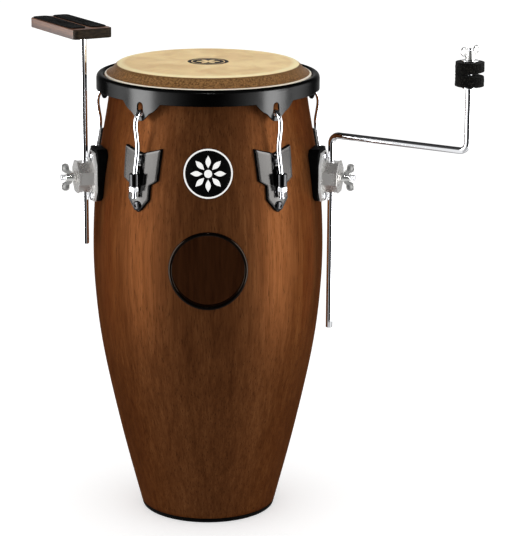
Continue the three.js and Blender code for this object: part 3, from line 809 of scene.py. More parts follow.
def makeFleshHoop():
    # a rounded square section with its upper outer corner cut, where the skin laps it
    h = fleshHoop
    corners = [
        (h["inner"], h["foot"]), (h["outer"], h["foot"]), (h["outer"], h["lap"][1]), (h["lap"][0], h["top"]),
        (h["inner"], h["top"]),
    ]
    shape = moved(revolve(softened(corners, 1.6, 5), 160, closed=True), axisX, axisY)
    replaceNode("flesh_hoop", [shape], hide, "tuning_ring")


def makeFootRing():
    # a flared section, rounder where it meets the floor
    f = footRing
    corners = [(f["inner"], 0), (f["outer"], 0), (f["widest"], f["top"]), (f["inner"], f["top"])]
    shape = moved(revolve(softened(corners, [0.8, 1.6, 0.6, 0.6], 4), 160, closed=True), axisX, axisY)
    replaceNode("foot_ring", [shape], rubber, "drum")


makeSkin()
makeFleshHoop()
makeFootRing()
print("head and foot made")


# Rim: a curled band whose foot drops to a pointed lobe at each lug, one slot in each lobe
lugAzimuths = [-36, 36, 108, 180, -108]
rim = {
    "outer": 157.8, "inner": 154.5, "foot": 619.2, "top": 634.2, "edge": 0.55,
    "curl": [
        (157.8, 634.2), (157.3, 637.5), (155.6, 640.1), (152.8, 641.2), (149.9, 640.7), (147.6, 639),
        (146.5, 636.9),
    ],
    "under": [(146.8, 635.5), (148.2, 635.1), (151.6, 635.3), (153.6, 633.6), (154.5, 631)],
    "lobe": [
        (34, 619.2), (31.2, 618.6), (26, 612.6), (20.5, 608.1), (15.5, 605.6), (11, 601.2), (7.2, 597.5),
        (3.6, 594.9), (0, 594.4),
    ],
    "slot": {"foot": 601.4, "middle": 611.5, "top": 620.1, "footHalf": 5.4, "half": 4.6, "corner": 1.8},
    "columns": {"far": 24, "near": 96, "turn": 13.2},   # per lobe: on each side, over it, and its half angle
    "window": {"half": 7.6, "outside": (0.08, 0.72), "inside": (5, 3)},   # shares, and rows left at each end
}


def rimColumns():
    # degrees from a lobe's middle to halfway to the next one, closest together over the lobe
    turn, far, half = rim["columns"]["turn"], rim["columns"]["far"], 180 / len(lugAzimuths)
    over = np.linspace(-turn, turn, rim["columns"]["near"] + 1)[:-1]
    return np.concatenate([
        np.linspace(-half, -turn, far, endpoint=False), over, np.linspace(turn, half, far, endpoint=False),
    ])


def rimRows():
    # [radius, top, share, lift] of each row, whose height is foot + (top - foot) * share + lift, and the
    # number of rows on the outer face and before the inner one
    outer, inner, edge = rim["outer"], rim["inner"], rim["edge"]
    curl = densified(softened(rim["curl"], 1.2, 3, closed=False), 0.9, closed=False)[1:]
    under = densified(softened(rim["under"], 0.8, 3, closed=False), 1.0, closed=False)
    outside = [(outer - edge, 0, 0, 0), (outer, 0, 0, edge)]
    outside += [(outer, rim["top"], share, 0) for share in np.linspace(0.03, 1, 22)]
    turn = [(radius, height, 1, 0) for radius, height in (*curl, *under)]
    inside = [(inner, rim["under"][-1][1], share, 0) for share in np.linspace(1, 0, 20)[1:-1]]
    inside += [(inner, 0, 0, edge), (inner + edge, 0, 0, 0)]
    return np.array(outside + turn + inside, float), len(outside), len(outside) + len(turn)


def slotReach():
    # the slot's outline, narrow and round at the top, as directions from its middle and distances
    slot, half = rim["slot"], rim["slot"]["half"]
    arc = np.linspace(0, np.pi, 17)
    top = np.column_stack([half * np.cos(arc), slot["top"] - half + half * np.sin(arc)])
    outline = np.concatenate([[(-slot["footHalf"], slot["foot"]), (slot["footHalf"], slot["foot"])], top])
    radii = [slot["corner"]] * 2 + [0.01] * len(arc)
    outline = densified(softened(outline, radii, 4), 0.4) - [0, slot["middle"]]
    direction = np.arctan2(outline[:, 1], outline[:, 0])
    order = np.argsort(direction)
    return direction[order], np.hypot(outline[:, 0], outline[:, 1])[order]


def onCylinder(points, radius, turn):
    # [x, z] across a lobe to the cylinder of that radius, turned to the lobe
    side, z = points[..., 0], points[..., 1]
    depth = np.sqrt(radius**2 - side**2)
    across = side * math.cos(turn) + depth * math.sin(turn)
    return np.stack([across, depth * math.cos(turn) - side * math.sin(turn), z], axis=-1)


def makeRim():
    # rows run up the outer face from the foot, over the curl and down the inner face; the foot's height is
    # a curve of the distance from the nearest lobe, and both faces have a window for each slot
    columns, (rows, outsideEnd, insideStart) = rimColumns(), rimRows()
    outer, inner, edge, window, count = rim["outer"], rim["inner"], rim["edge"], rim["window"], len(columns)
    offset = np.tile(np.radians(columns), len(lugAzimuths))
    azimuth = np.repeat(np.radians(lugAzimuths), count) + offset
    lobe = catmull(rim["lobe"], 120)
    lobe = lobe[np.argsort(lobe[:, 0])]
    foot = np.interp(np.abs(outer * np.sin(offset)), lobe[:, 0], lobe[:, 1], right=rim["foot"])
    radius, top, share, lift = rows.T[..., None]
    height = foot + (top - foot) * share + lift
    points = np.stack([radius * np.sin(azimuth), radius * np.cos(azimuth), height], axis=-1)
    faces = gridFaces(*height.shape, wrapRows=True, wrapCols=True)

    polar, reach = slotReach()

    def slotRing(direction, wider=0.0):
        # [x, z] on the slot's outline at these directions from its middle, or a little outside it
        size = np.interp(direction, polar, reach, period=2 * np.pi) + wider
        return np.column_stack([size * np.cos(direction), rim["slot"]["middle"] + size * np.sin(direction)])

    below, above = window["inside"]
    outWindow = np.searchsorted(rows[:outsideEnd, 2], window["outside"])
    inWindow = (insideStart + below, len(rows) - above)
    middle = count // 2
    wide = int(np.argmin(np.abs(outer * np.sin(np.radians(columns)) - window["half"]))) - middle
    everyWay = np.linspace(-np.pi, np.pi, 90, endpoint=False)
    patches, kept = [], np.ones(len(faces), bool)
    for i, lobeAzimuth in enumerate(lugAzimuths):
        turn = math.radians(lobeAzimuth)
        cols = (i * count + middle - wide, i * count + middle + wide)
        for windowRows, faceRadius in ((outWindow, outer), (inWindow, inner)):
            kept &= outsideWindow(faces, height.shape[1], windowRows, cols)
            border = windowLoop(windowRows, cols)
            x, y, z = points[border[:, 0], border[:, 1]].T
            loop = np.column_stack([x * math.cos(turn) - y * math.sin(turn), z])
            direction = np.arctan2(loop[:, 1] - rim["slot"]["middle"], loop[:, 0])
            filling = onCylinder(between(loop, slotRing(direction, edge), 5), faceRadius, turn)
            patches.append(patch(filling, wrapCols=True))
        mouth, throat = slotRing(everyWay, edge), slotRing(everyWay)
        rings = [(mouth, outer), (throat, outer - edge), (throat, inner + edge), (mouth, inner)]
        patches.append(patch(np.stack([onCylinder(ring, at, turn) for ring, at in rings]), wrapCols=True))
    patches.append((points.reshape(-1, 3), faces[kept]))
    replaceNode("rim", atAzimuth(patches, 0), blackPlate, "tuning_ring", sharp=32)


makeRim()
print("rim made")


# Lugs: plate, pad, barrel and gusset, bolts, hook and nut, built at +Y and turned to each azimuth
lug = {
    "side": [(0, 548.3), (30, 556.8), (28, 513.8), (17, 507), (16.8, 486.6), (4, 471.2)], "tip": 469.6,
    "round": 1.4, "pad": (0.3, 2.9), "plate": (3.2, 5.7), "slope": 0.118, "ridge": 1.5, "margin": 1.0,
    "middle": (0, 515), "axis": 171.6, "bolts": (477.9, 540.5), "boltSunk": 0.2,
    "barrel": {"radius": 7, "bore": 4.7, "mouth": 6.3, "foot": 506.8, "top": 523.5},
    "gusset": {
        "width": 8, "top": 533, "foot": 491, "nose": 166.8, "noseTop": 527, "tail": 163.8, "waist": 512,
        "overlap": 0.6,
    },
}


def lugOutline(margin):
    # right side from the notch at the top down to the tip, mirrored; anticlockwise
    side = [(x + margin * (x > 0), z + margin * (i < 2)) for i, (x, z) in enumerate(lug["side"])]
    side = np.array(side + [(margin * 0.8, lug["tip"] - margin)])
    right = side[side[:, 0] > 0]
    outline = np.concatenate([side[:1], right * [-1, 1], right[::-1]])
    return densified(softened(outline, lug["round"], 3), 2.0)


def plateShape():
    # a pillow between the pad and a face of two flat wings that meet in a soft ridge
    back, front = lug["plate"]

    def face(x, z):
        # the shell's radius plus the front, less the slope times the distance from the ridge's centre
        return shellRadius(z) + front - np.hypot(x, lug["ridge"]) * lug["slope"]
    return upright(pillow(lugOutline(0), partial(shellDepth, lift=back), face, 0.4, lug["middle"], 10))


def gussetShape():
    # upright web between plate and barrel, thick across; its outline is [distance, height]
    g, b, axis = lug["gusset"], lug["barrel"], lug["axis"]
    footFace, topFace = shellRadius(np.array([g["foot"], g["top"]])) + lug["plate"][1] - g["overlap"]
    near, barrelFoot = axis - b["radius"] + 1.4, b["foot"] + 0.4
    outline = [
        (footFace, g["foot"]), (g["tail"], b["foot"] - 6), (g["tail"], barrelFoot), (near, barrelFoot),
        (near, b["top"] - 0.2), (g["nose"], g["noseTop"]), (topFace, g["top"]), (topFace - 1.6, g["waist"]),
    ]
    loop = densified(softened(outline, 1.0, 3), 1.5)
    points, faces = pillow(loop, -g["width"] / 2, g["width"] / 2, 0.9, (g["tail"] - 1, g["waist"]), 4)
    return points[:, [2, 0, 1]], faces


def barrelShape():
    # a thick tube with a wide mouth
    b = lug["barrel"]
    foot, top = b["foot"], b["top"]
    corners = [(b["bore"], foot), (b["radius"], foot), (b["radius"], top), (b["mouth"], top)]
    return moved(revolve(softened(corners, [0.5, 0.7, 0.3, 0.3], 3), 64, closed=True), 0, lug["axis"])


bolt = {
    "head": 6.8, "dome": 2.6, "socket": 2.4, "socketDepth": 1.7, "shank": 2.7, "nut": 4.9, "nutDepth": 5,
    "nutGap": 0.9, "sides": 48,
}


def domedBolt(face, height):
    # a domed head with a hexagonal socket, its shank, and the nut inside the shell, built upright and laid
    # over; the dome's height goes with the root of 1 - share ** 2.2 of the radius
    head, dome, shank, sides = bolt["head"], bolt["dome"], bolt["shank"], bolt["sides"]
    corner = math.cos(math.pi / 6)
    socket = hexagonRadius(bolt["socket"] * corner, sides)
    nut = hexagonRadius(bolt["nut"] * corner, sides)
    floor, mouth = dome - bolt["socketDepth"], dome - 0.25
    rows = [(socket * share, floor + rise) for share, rise in ((1e-5, 0), (0.5, 0), (0.96, 0.1), (1, 0.2))]
    rows += [(socket, mouth), (socket * 1.06, mouth + 0.13)]
    for t in np.linspace(0.52, 1, 9):
        rows.append((head * t, dome * math.sqrt(max(1 - (t * 0.985) ** 2.2, 0.02))))
    rows += [(head, 0.15), (head - 0.2, 0), (shank, 0)]
    top = ringStack(rows, sides) + [0, 0, face]
    nutTop = float(shellRadius(height + bolt["nut"])) - shell["wall"] - bolt["nutGap"]
    nutEnd = nutTop - bolt["nutDepth"]
    low = [
        (shank, nutTop), (nut * 0.93, nutTop), (nut, nutTop - 0.5), (nut, nutEnd + 0.5), (nut * 0.9, nutEnd),
        (shank, nutEnd), (shank - 0.4, nutEnd), (shank * 1e-5, nutEnd),
    ]
    return radially(patch(np.concatenate([top, ringStack(low, sides)]), wrapCols=True), height)


hook = {
    "radius": 3.8, "shank": 3.1, "tip": (149.6, 598.5), "bend": (156.2, 600.8, 6.6), "foot": 489.5,
    "sway": [
        (160.9, 605.5), (164.3, 601.4), (166.6, 595.5), (167.3, 588), (165.9, 577), (163.8, 564),
        (164.2, 551), (166.1, 540), (168.4, 529), (170.2, 518),
    ],
    "pitch": 1.25, "depth": 0.75, "threadTop": 508,
}


def hookShape():
    # up from the tip, over the bend, swayed clear of the plate, straight and threaded through the nut
    y0, z0, size = hook["bend"]
    arc = np.linspace(np.pi, np.pi / 3, 14)
    bend = np.column_stack([y0 + size * np.cos(arc), z0 + size * np.sin(arc)])
    rise = np.column_stack([np.full(5, hook["tip"][0]), np.linspace(hook["tip"][1], z0 - 1, 5)])
    sway = catmull([bend[-1], *hook["sway"], (lug["axis"], hook["threadTop"])], 80)
    screw = threadedPath((lug["axis"], hook["threadTop"]), (lug["axis"], hook["foot"]), hook["pitch"])
    route = np.concatenate([rise, bend, sway[1:-1], screw])
    length = np.concatenate([[0], np.cumsum(np.linalg.norm(np.diff(route, axis=0), axis=1))])
    thread = (length[-1] - (hook["threadTop"] - hook["foot"]), length[-1] - 0.8, hook["pitch"], hook["depth"])
    route = np.column_stack([np.zeros(len(route)), route])
    screwStart = len(route) - len(screw)
    radii = np.interp(np.arange(len(route)), [screwStart - 4, screwStart], [hook["shank"], hook["radius"]])
    return tube(route, radii, (1.0, 0.0, 0.0), 28, 0.7, thread)


tuningNut = {
    "flats": 12.2, "flange": 7.2, "flangeDepth": 1.5, "foot": 499.2, "top": 506.5, "bore": 4.05,
    "fillet": 6.6, "sides": 72,
}


def nutShape():
    # hexagon with cut corners below a round flange, as rows of rings from bore to bore
    n = tuningNut
    bore, flange, foot, top = n["bore"], n["flange"], n["foot"], n["top"]
    half, shoulder = n["flats"] / 2, top - n["flangeDepth"]
    hexagon = hexagonRadius(half, n["sides"])
    cut = np.minimum(hexagon, half * 1.06)
    rows = [
        (bore, foot + 0.6), (bore + 0.6, foot), (half * 0.98, foot), (cut, foot + 0.3), (hexagon, foot + 0.9),
        (hexagon, shoulder - 0.2), (np.maximum(hexagon, n["fillet"]), shoulder),
        (flange - 0.15, shoulder + 0.25), (flange, shoulder + 0.5), (flange, top - 0.3), (flange - 0.3, top),
        (bore + 0.5, top), (bore, top - 0.5),
    ]
    return moved(patch(ringStack(rows, n["sides"]), wrapRows=True, wrapCols=True), 0, lug["axis"])


def makeLugs():
    # every shape is made once and turned to each lug
    plate = plateShape()
    pad = shellPillow(lugOutline(lug["margin"]), lug["middle"], *lug["pad"], 0.5, 8)
    carrier = [barrelShape(), gussetShape()]
    bolts = []
    for height in lug["bolts"]:
        face = float(shellRadius(height)) + lug["plate"][1] - lug["boltSunk"]
        bolts.append(domedBolt(face, height))
    hookBar, nut = hookShape(), nutShape()
    for i, azimuth in enumerate(lugAzimuths, 1):
        replaceNode(f"lug_pad_{i}", atAzimuth([pad], azimuth), rubber, "drum")
        replaceNode(f"lug_plate_{i}", atAzimuth([plate], azimuth), lugPlate, "drum")
        addPiece(f"lug_barrel_{i}", atAzimuth(carrier, azimuth), barrelSteel, "drum")
        for part, shape in zip(("lower", "upper"), bolts):
            patches = atAzimuth([shape], azimuth)
            replaceNode(f"lug_bolt_{part}_{i}", patches, boltSteel, "drum", sharp=30)
        bar, turnedNut, name = atAzimuth([hookBar], azimuth), atAzimuth([nut], azimuth), f"tuning_nut_{i}"
        replaceNode(f"hook_{i}", bar, brightPlate, "tuning_ring", sharp=50)
        replaceNode(name, turnedNut, brightPlate, name, sharp=25)


makeLugs()
print("lugs made")


# Rod mounts, also built at +Y
mount = {
    "azimuth": 74, "height": 501, "rod": 180, "rodRadius": 4.75,
    "pad": {
        "half": 24.5, "foot": 467.5, "middle": (0, 502), "top": 541, "chamfer": 7, "face": 167, "back": 0.6,
        "edge": 1.6,
    },
    "eye": {"radius": 9, "hole": 5.75, "height": 9, "offset": 0.45},
    "stud": {"radius": 3.9, "start": 7.6, "end": 214.5, "pitch": 1.25, "depth": 0.7},
    "boltOffset": 28.4, "boltLift": 0.3, "baseFace": 170.9, "capFace": 195.7, "bevel": 0.6,
}


def padShape():
    # rubber wedge: its back follows the shell, its front is flat
    p = mount["pad"]
    half, foot, top = p["half"], p["foot"], p["top"]
    inX, inFoot, inTop = half - p["chamfer"], foot + p["chamfer"], top - p["chamfer"]
    corners = [
        (-inX, foot), (inX, foot), (half, inFoot), (half, inTop), (inX, top), (-inX, top), (-half, inTop),
        (-half, inFoot),
    ]
    loop = densified(softened(corners, 3.0, 4), 2.5)
    back = partial(shellDepth, lift=p["back"])
    return upright(pillow(loop, back, p["face"], p["edge"], p["middle"], 8, 4, lowEdge=0.4))


def eyeboltShape():
    # a rounded ring about the rod, and a threaded stud that leaves it away from the drum
    eye, stud = mount["eye"], mount["stud"]
    half, centre = eye["height"] / 2, mount["rod"] + eye["offset"]
    profile = [(eye["hole"], -half), (eye["radius"], -half), (eye["radius"], half), (eye["hole"], half)]
    ring = moved(revolve(softened(profile, 1.1, 4), 72, closed=True), 0, centre, mount["height"])
    start = centre + stud["start"]
    route = threadedPath((0, start, mount["height"]), (0, stud["end"], mount["height"]), stud["pitch"])
    thread = (2, stud["end"] - start - 0.8, stud["pitch"], stud["depth"])
    return [ring, tube(route, stud["radius"], (1.0, 0.0, 0.0), 28, 0.7, thread)]


wingNut = {
    "hub": 6.4, "neck": 5, "length": 12, "bore": 4.15, "reach": 13.2, "ear": 6.3, "lean": 12.2,
    "thickness": 3.2, "hollow": 0.45, "spread": 3, "middle": (8.4, 7.4),
}


def wingNutShape():
    # hub about Z with a bore, and two rounded wings along Y that lean outwards, each face hollowed by a
    # bell curve of the distance from the ear's centre
    w, end = wingNut, wingNut["length"]
    profile = [(w["bore"], 0), (w["hub"], 0), (w["hub"], 2.2), (w["neck"], end), (w["bore"], end)]
    hub = revolve(softened(profile, [0.5, 0.5, 0.8, 0.9, 0.5], 4), 48, closed=True)
    arc = np.linspace(-1.9, 2.3, 26)
    ear = np.column_stack([w["reach"] + w["ear"] * np.cos(arc), w["lean"] + w["ear"] * np.sin(arc)])
    inside = w["bore"] + 0.5
    web = np.array([(w["neck"] - 0.4, end - 2), (inside, end - 3.4), (inside, 1.3)])
    loop = densified(np.concatenate([softened(web, 0.2, 1, closed=False), [(w["reach"] - 5, 2.6)], ear]), 0.9)

    def swell(y, z, side):
        # half the thickness less the hollow's share of the bell, towards one side
        bell = np.exp(-((y - w["reach"]) ** 2 + (z - w["lean"]) ** 2) / w["spread"] ** 2)
        return side * (w["thickness"] / 2 - w["hollow"] * bell)

    flat, faces = pillow(loop, partial(swell, side=-1), partial(swell, side=1), 1.1, w["middle"], 6, 4)
    wing = flat[:, [2, 0, 1]]
    return [hub, (wing, faces), (wing * [1, -1, 1], faces)]


def makeMount(side, sign):
    # pad, two bolts, the CAD's bracket and cap with worn edges, eyebolt and wing nut
    azimuth = sign * mount["azimuth"]
    replaceNode(f"{side}_mount_pad", atAzimuth([padShape()], azimuth), rubber, "drum")
    for part, end in (("lower", -1), ("upper", 1)):
        shape = domedBolt(mount["baseFace"] + mount["boltLift"], mount["height"] + end * mount["boltOffset"])
        patches = atAzimuth([shape], azimuth)
        replaceNode(f"{side}_bracket_bolt_{part}", patches, brightPlate, "drum", sharp=30)
    for part in ("bracket", "clamp_cap"):
        item = wornCopy(f"{side}_{part}", mount["bevel"])
        item.data.materials.append(satinPlate)
        if part == "bracket":
            a = math.radians(azimuth)
            centres = faceValues(item, "center") * 1000 - [axisX, axisY, 0]
            away = centres @ [math.sin(a), -math.cos(a), 0]
            # the base flange's faces take the whiter copy of the plating, a painted highlight
            secondMaterial(item, basePlateHighlight, away < mount["baseFace"] + 0.2)
        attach(item, "drum")
        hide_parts(f"{side}_{part}")
    name = f"{side}_eyebolt"
    replaceNode(name, atAzimuth(eyeboltShape(), azimuth), brightPlate, name, sharp=50)
    nut = [moved(radially(part), 0, mount["capFace"], mount["height"]) for part in wingNutShape()]
    name = f"{side}_wing_nut"
    replaceNode(name, atAzimuth(nut, azimuth), castPlate, name)


makeMount("left", -1)
makeMount("right", 1)
print("mounts made")


def onRod(patches, sign, degrees):
    # local frame of a rod: its own upright axis, +X turned to the angle
    azimuth = math.radians(sign * mount["azimuth"])
    centre = (axisX + mount["rod"] * math.sin(azimuth), axisY - mount["rod"] * math.cos(azimuth))
    return [(turned(points, degrees, centre), faces) for points, faces in patches]


boardRod = {"foot": 404, "top": 705}
board = {
    "length": 146, "width": 59.5, "corner": 8, "foot": 698.8, "top": 712.5, "end": 30.6, "offset": -1.9,
    "azimuth": 119, "edge": 1.2,
}
strip = {
    "width": 24, "spacing": 31, "near": 13.5, "far": 3, "depth": 1.1, "corner": 7, "lift": 0.3, "edge": 0.4,
    "pile": 0.22,
}
boardWood = makeBoardWood(board["azimuth"])


def plankOutline(left, right, half, corner, shift=0.0):
    # a rectangle with a quarter circle at each corner, anticlockwise
    arcs = []
    for x, y, start in (
        (left + corner, shift - half + corner, np.pi), (right - corner, shift - half + corner, 1.5 * np.pi),
        (right - corner, shift + half - corner, 0), (left + corner, shift + half - corner, 0.5 * np.pi),
    ):
        arc = np.linspace(start, start + np.pi / 2, 9)
        arcs.append(np.column_stack([x + corner * np.cos(arc), y + corner * np.sin(arc)]))
    return densified(np.concatenate(arcs), 3.0)


def makeBoard():
    # a plain rod, a plank with end grain and painted shade on its ends and round corners, and two strips
    # whose pile is stirred by seeded draws
    b, s = board, strip
    route = [(0, 0, z) for z in np.linspace(boardRod["foot"], boardRod["top"], 12)]
    rod = tube(route, mount["rodRadius"], (1.0, 0, 0), 40, 0.7)
    replaceNode("board_rod", onRod([rod], -1, 0), brightPlate, "board_rod")
    left, right, half = -b["end"], b["length"] - b["end"], b["width"] / 2
    loop = plankOutline(left, right, half, b["corner"], b["offset"])
    plank = pillow(loop, b["foot"], b["top"], b["edge"], ((left + right) / 2, b["offset"]), 8, 4)
    item = replaceNode("board", onRod([plank], -1, b["azimuth"]), boardWood, "board")
    along = math.radians(b["azimuth"])
    facing = np.abs(faceValues(item, "normal") @ [math.cos(along), math.sin(along), 0])
    # faces turned towards the ends, the round corners too, take the dark end grain with its painted shade
    secondMaterial(item, endGrainAndShade, facing > 0.3)
    random = np.random.default_rng(7)
    near, far, foot = left + s["near"], right - s["far"], b["top"] + s["lift"]
    top = foot + s["depth"]
    for name, side in (("outer", 1), ("inner", -1)):
        shift = side * s["spacing"] / 2 + b["offset"]
        outline = densified(plankOutline(near, far, s["width"] / 2, s["corner"], shift), 1.2)
        points, faces = pillow(outline, foot, top, s["edge"], ((near + far) / 2, shift), 26, 3)
        high = points[:, 2] > top - 0.05
        points[high, 2] -= s["pile"] * random.random(high.sum())
        shape = onRod([(points, faces)], -1, b["azimuth"])
        replaceNode(f"grip_strip_{name}", shape, gripFabric, "board", sharp=180)


crank = {"foot": 280.4, "arm": 560.5, "reach": 212, "azimuth": -33.3, "bend": 12}
post = {
    "collar": {"foot": 646.8, "top": 649.8, "radius": 10},
    "top": 701, "radius": 3.9, "pitch": 1.25, "depth": 0.7, "nutTurn": 45, "nutLift": 0.3,
    "felt": {
        "radius": 19.5, "hole": 4.8, "foot": 650.1, "middle": 666.6, "gap": 0.6, "top": 683.2, "slope": 0.07,
    },
    "fuzz": {"sink": -0.1, "wave": 0.07, "tuft": 0.55, "face": 0.25},
    "washer": {"foot": 683.5, "top": 685.3, "radius": 11.6},
}


def feltShape(foot, top, footSlope, topSlope, seed):
    # a soft-edged disc with a hole, both faces may slope along X, its skin stirred by seeded waves and tufts
    f, fuzz = post["felt"], post["fuzz"]
    corners = [(f["hole"], foot), (f["radius"], foot), (f["radius"], top), (f["hole"], top)]
    profile = densified(softened(corners, [0.6, 0.9, 0.9, 0.6], 4), 0.8)
    points, faces = revolve(profile, 150, closed=True)
    random = np.random.default_rng(seed)
    middle = (foot + top) / 2
    slope = np.where(points[:, 2] < middle, footSlope, topSlope)
    radius, angle = np.hypot(points[:, 0], points[:, 1]), np.arctan2(points[:, 1], points[:, 0])
    draws = zip(random.integers(3, 40, 8), random.random(8) * 6, random.random(8) * 2 - 1)
    waves = sum(np.sin(turns * angle + shift + lean * points[:, 2]) for turns, shift, lean in draws)
    outer = np.clip((radius - f["radius"] + 4) / 4, 0, 1)
    push = outer * (fuzz["sink"] + fuzz["wave"] * waves + fuzz["tuft"] * (random.random(len(points)) - 0.6))
    points[:, 0] += push * np.cos(angle)
    points[:, 1] += push * np.sin(angle)
    pits = fuzz["face"] * random.random(len(points)) * (radius > f["hole"] + 1)
    points[:, 2] += slope * (points[:, 0] + f["radius"]) - np.sign(points[:, 2] - middle) * pits
    return points, faces


def makeCrank():
    # a bar with two quarter bends, a collar and a threaded end, in the plane of its arm
    c, collar = crank, post["collar"]
    quarter = np.linspace(0, np.pi / 2, 16)
    near, far = c["bend"] * (1 - np.cos(quarter)), c["bend"] * (1 - np.sin(quarter))
    lower = np.column_stack([near, c["arm"] - far])
    upper = np.column_stack([c["reach"] - far, c["arm"] + near])
    corners = np.concatenate([[(0, c["foot"])], lower, upper, [(c["reach"], collar["foot"] + 1)]])
    route = np.insert(densified(corners, 14, closed=False), 1, 0, axis=1)
    bar = tube(route, mount["rodRadius"], (0.0, 1.0, 0.0), 40, 0.7)
    foot, top, radius = collar["foot"], collar["top"], collar["radius"]
    corners = [(0, foot), (radius, foot), (radius, top), (0, top)]
    disc = softened(corners, [0.01, 0.8, 0.8, 0.01], 3, closed=False)
    disc = moved(revolve(disc, 64), c["reach"])
    start = top - 1
    path = threadedPath((c["reach"], 0, start), (c["reach"], 0, post["top"]), post["pitch"])
    thread = (1, post["top"] - start - 0.8, post["pitch"], post["depth"])
    screw = tube(path, post["radius"], (0.0, 1.0, 0.0), 28, 0.7, thread)
    shape = onRod([bar, disc, screw], 1, c["azimuth"])
    replaceNode("crank_rod", shape, brightPlate, "crank", sharp=50)


def makePost():
    # two felts, a washer and a wing nut about the crank's threaded end
    f, w = post["felt"], post["washer"]
    azimuth, turn = math.radians(mount["azimuth"]), math.radians(crank["azimuth"])
    centreX = axisX + mount["rod"] * math.sin(azimuth) + crank["reach"] * math.cos(turn)
    centreY = axisY - mount["rod"] * math.cos(azimuth) + crank["reach"] * math.sin(turn)
    lowerFelt = moved(feltShape(f["foot"], f["middle"], 0, -f["slope"], 3), centreX, centreY)
    replaceNode("felt_lower", [lowerFelt], feltCloth, "crank", sharp=180)
    upperFelt = moved(feltShape(f["middle"] + f["gap"], f["top"], f["slope"], 0, 4), centreX, centreY)
    replaceNode("felt_upper", [upperFelt], feltCloth, "upper_felt", sharp=180)
    hole, radius, foot, top = f["hole"], w["radius"], w["foot"], w["top"]
    ring = softened([(hole, foot), (radius, foot), (radius, top), (hole, top)], 0.4, 3)
    washer = moved(revolve(ring, 64, closed=True), centreX, centreY)
    replaceNode("post_washer", [washer], brightPlate, "upper_felt")
    nut = [(turned(points, post["nutTurn"] - 90), faces) for points, faces in wingNutShape()]
    nut = [moved(part, centreX, centreY, top + post["nutLift"]) for part in nut]
    replaceNode("post_wing_nut", nut, castPlate, "post_wing_nut")


makeBoard()
makeCrank()
makePost()
print("board and post made")


# Studio, in metres: two pairs of tall boxes and a small glint that only show in gloss, a soft light above,
# and a room that is white for the camera, plain for matt surfaces, and a curve of directions for gloss
studio = {
    "boxes": [
        {"name": "main", "azimuth": 67, "distance": 1.05, "size": (0.46, 1.1), "height": 0.45, "power": 15.5},
        {"name": "fill", "azimuth": 104, "distance": 1.05, "size": (0.6, 1.1), "height": 0.45, "power": 3.8},
    ],
    "glint": {"elevation": 32, "distance": 1.5, "size": (0.12, 0.05), "power": 1.1},
    "top": {"forward": 0.2, "lean": 0.01, "size": (1.6, 1.6), "height": 2.4, "power": 8},
    "ambient": 0.8, "floor": {"size": 9.0, "paint": 0.86, "glow": 0.4},
    "around": [
        (0.0, 0.0), (0.02, 0.01), (0.047, 0.12), (0.117, 0.65), (0.179, 1.0), (0.456, 0.9), (0.7, 0.7),
        (0.8, 0.1), (0.983, 0.5),
    ],
    "updown": [(0.0, 1.0), (0.62, 1.0), (0.74, 0.08), (1.0, 0.05)],
    "below": [(0.0, 0.5), (0.2, 0.5), (0.3, 0.0)],
}


def areaLight(name, place, aim, size, power, glossOnly=False):
    # a rectangle at a place, its -Z at the aim and its X level
    data = bpy.data.lights.new(name, "AREA")
    data.shape = "RECTANGLE"
    data.size, data.size_y, data.energy = *size, power
    light = bpy.data.objects.new(name, data)
    forward = (np.array(aim, float) - place) / np.linalg.norm(np.array(aim, float) - place)
    side = np.cross(forward, (0, 0, 1) if abs(forward[2]) < 0.9 else (0, 1, 0))
    side /= np.linalg.norm(side)
    rise = np.cross(side, forward)
    turn = Matrix([list(row) for row in np.column_stack([side, rise, -forward])]).to_4x4()
    light.matrix_world = Matrix.Translation(place) @ turn
    light.visible_camera = False
    light.visible_diffuse = not glossOnly
    light.visible_glossy = glossOnly
    bpy.context.scene.collection.objects.link(light)


def makeLamps():
    # each box stands left and right of the drum, the glint in front of the rim, the soft light overhead
    x, y = axisX / 1000, axisY / 1000
    for box in studio["boxes"]:
        for side, sign in (("left", -1), ("right", 1)):
            a = math.radians(sign * box["azimuth"])
            out = np.array([math.sin(a), -math.cos(a), 0]) * box["distance"]
            aim = np.array([x, y, box["height"]])
            areaLight(f"{side}_{box['name']}", aim + out, aim, box["size"], box["power"], glossOnly=True)
    glint, rise = studio["glint"], math.radians(studio["glint"]["elevation"])
    edge = np.array([x, y - rim["outer"] / 1000, rim["top"] / 1000])
    place = edge + glint["distance"] * np.array([0, -math.cos(rise), math.sin(rise)])
    areaLight("glint", place, edge, glint["size"], glint["power"], glossOnly=True)
    top = studio["top"]
    front = y - top["forward"]
    areaLight("top_box", (x, front, top["height"]), (x, front + top["lean"], 0), top["size"], top["power"])


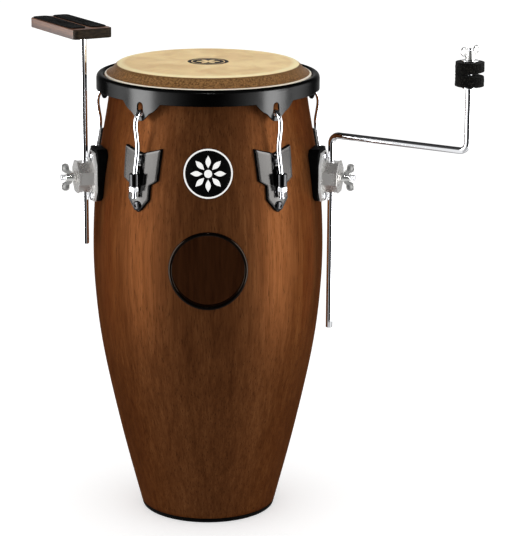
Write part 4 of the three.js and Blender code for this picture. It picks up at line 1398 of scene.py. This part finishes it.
def makeRoom():
    # the world's strength is white for the camera, ambient for matt surfaces and the room's curves for gloss
    world = bpy.data.worlds.new("room")
    bpy.context.scene.world = world
    world.use_nodes = True
    tree = world.node_tree
    tree.nodes.clear()
    link = tree.links.new

    def node(kind, **settings):
        # a new node of the world with its settings
        made = tree.nodes.new("ShaderNode" + kind)
        for key, value in settings.items():
            setattr(made, key, value)
        return made

    def curve(value, stops):
        # a share from -1..1 mapped to 0..1 and through the stops
        share = node("MapRange")
        share.inputs["From Min"].default_value = -1
        link(value, share.inputs["Value"])
        ramp = node("ValToRGB")
        link(share.outputs[0], ramp.inputs["Fac"])
        while len(ramp.color_ramp.elements) < len(stops):
            ramp.color_ramp.elements.new(0.5)
        for element, (place, light) in zip(ramp.color_ramp.elements, stops):
            element.position = place
            element.color = (light, light, light, 1)
        return ramp.outputs["Color"]

    # the gloss's room: a curve of the level direction's Y share times a curve of the direction's height,
    # or the floor's curve of the height where that is brighter
    coords, parts = node("TexCoord"), node("SeparateXYZ")
    link(coords.outputs["Generated"], parts.inputs[0])
    flat = node("CombineXYZ")
    link(parts.outputs[0], flat.inputs[0])
    link(parts.outputs[1], flat.inputs[1])
    unit, turnedParts = node("VectorMath", operation="NORMALIZE"), node("SeparateXYZ")
    link(flat.outputs[0], unit.inputs[0])
    link(unit.outputs[0], turnedParts.inputs[0])
    walls, both = node("VectorMath", operation="MULTIPLY"), node("VectorMath", operation="MAXIMUM")
    link(curve(turnedParts.outputs[1], studio["around"]), walls.inputs[0])
    link(curve(parts.outputs[2], studio["updown"]), walls.inputs[1])
    link(walls.outputs[0], both.inputs[0])
    link(curve(parts.outputs[2], studio["below"]), both.inputs[1])
    path = node("LightPath")
    ambient, glossy, white = node("Background"), node("Background"), node("Background")
    ambient.inputs["Color"].default_value = (1, 1, 1, 1)
    ambient.inputs["Strength"].default_value = studio["ambient"]
    link(both.outputs[0], glossy.inputs["Color"])
    white.inputs["Color"].default_value = (1, 1, 1, 1)
    first, second, seen = node("MixShader"), node("MixShader"), node("Math", operation="MAXIMUM")
    link(path.outputs["Is Glossy Ray"], first.inputs[0])
    link(ambient.outputs[0], first.inputs[1])
    link(glossy.outputs[0], first.inputs[2])
    link(path.outputs["Is Camera Ray"], seen.inputs[0])
    link(path.outputs["Is Transmission Ray"], seen.inputs[1])
    link(seen.outputs[0], second.inputs[0])
    link(first.outputs[0], second.inputs[1])
    link(white.outputs[0], second.inputs[2])
    link(second.outputs[0], node("OutputWorld").inputs["Surface"])


def makeFloor():
    # a pale floor: lifted to white for the camera, still darkened by the object's shadow
    mesh = bpy.data.meshes.new("floor")
    size, pale, glow = studio["floor"]["size"], studio["floor"]["paint"], studio["floor"]["glow"]
    corners = [(-size, -size, 0), (size, -size, 0), (size, size, 0), (-size, size, 0)]
    mesh.from_pydata(corners, [], [(0, 1, 2, 3)])
    paint = Finish("floor_paint", Base_Color=(pale, pale, pale, 1), Roughness=0.9, Specular_IOR_Level=0.1)
    path = paint.tree.nodes.new("ShaderNodeLightPath")
    seen = paint.maths("MAXIMUM", path.outputs["Is Camera Ray"], path.outputs["Is Transmission Ray"])
    cloud = paint.noise(paint.coords, 3, 2, 0.5)
    paint.link(paint.maths("MULTIPLY", seen, paint.grey(cloud, glow, glow + 0.02)), "Emission Strength")
    paint.shader.inputs["Emission Color"].default_value = (1, 1, 1, 1)
    mesh.materials.append(paint.material)
    floor = bpy.data.objects.new("floor", mesh)
    bpy.context.scene.collection.objects.link(floor)
    floor.visible_glossy = False


makeLamps()
makeRoom()
makeFloor()
bpy.context.scene.view_settings.view_transform = "Standard"
print("studio made")
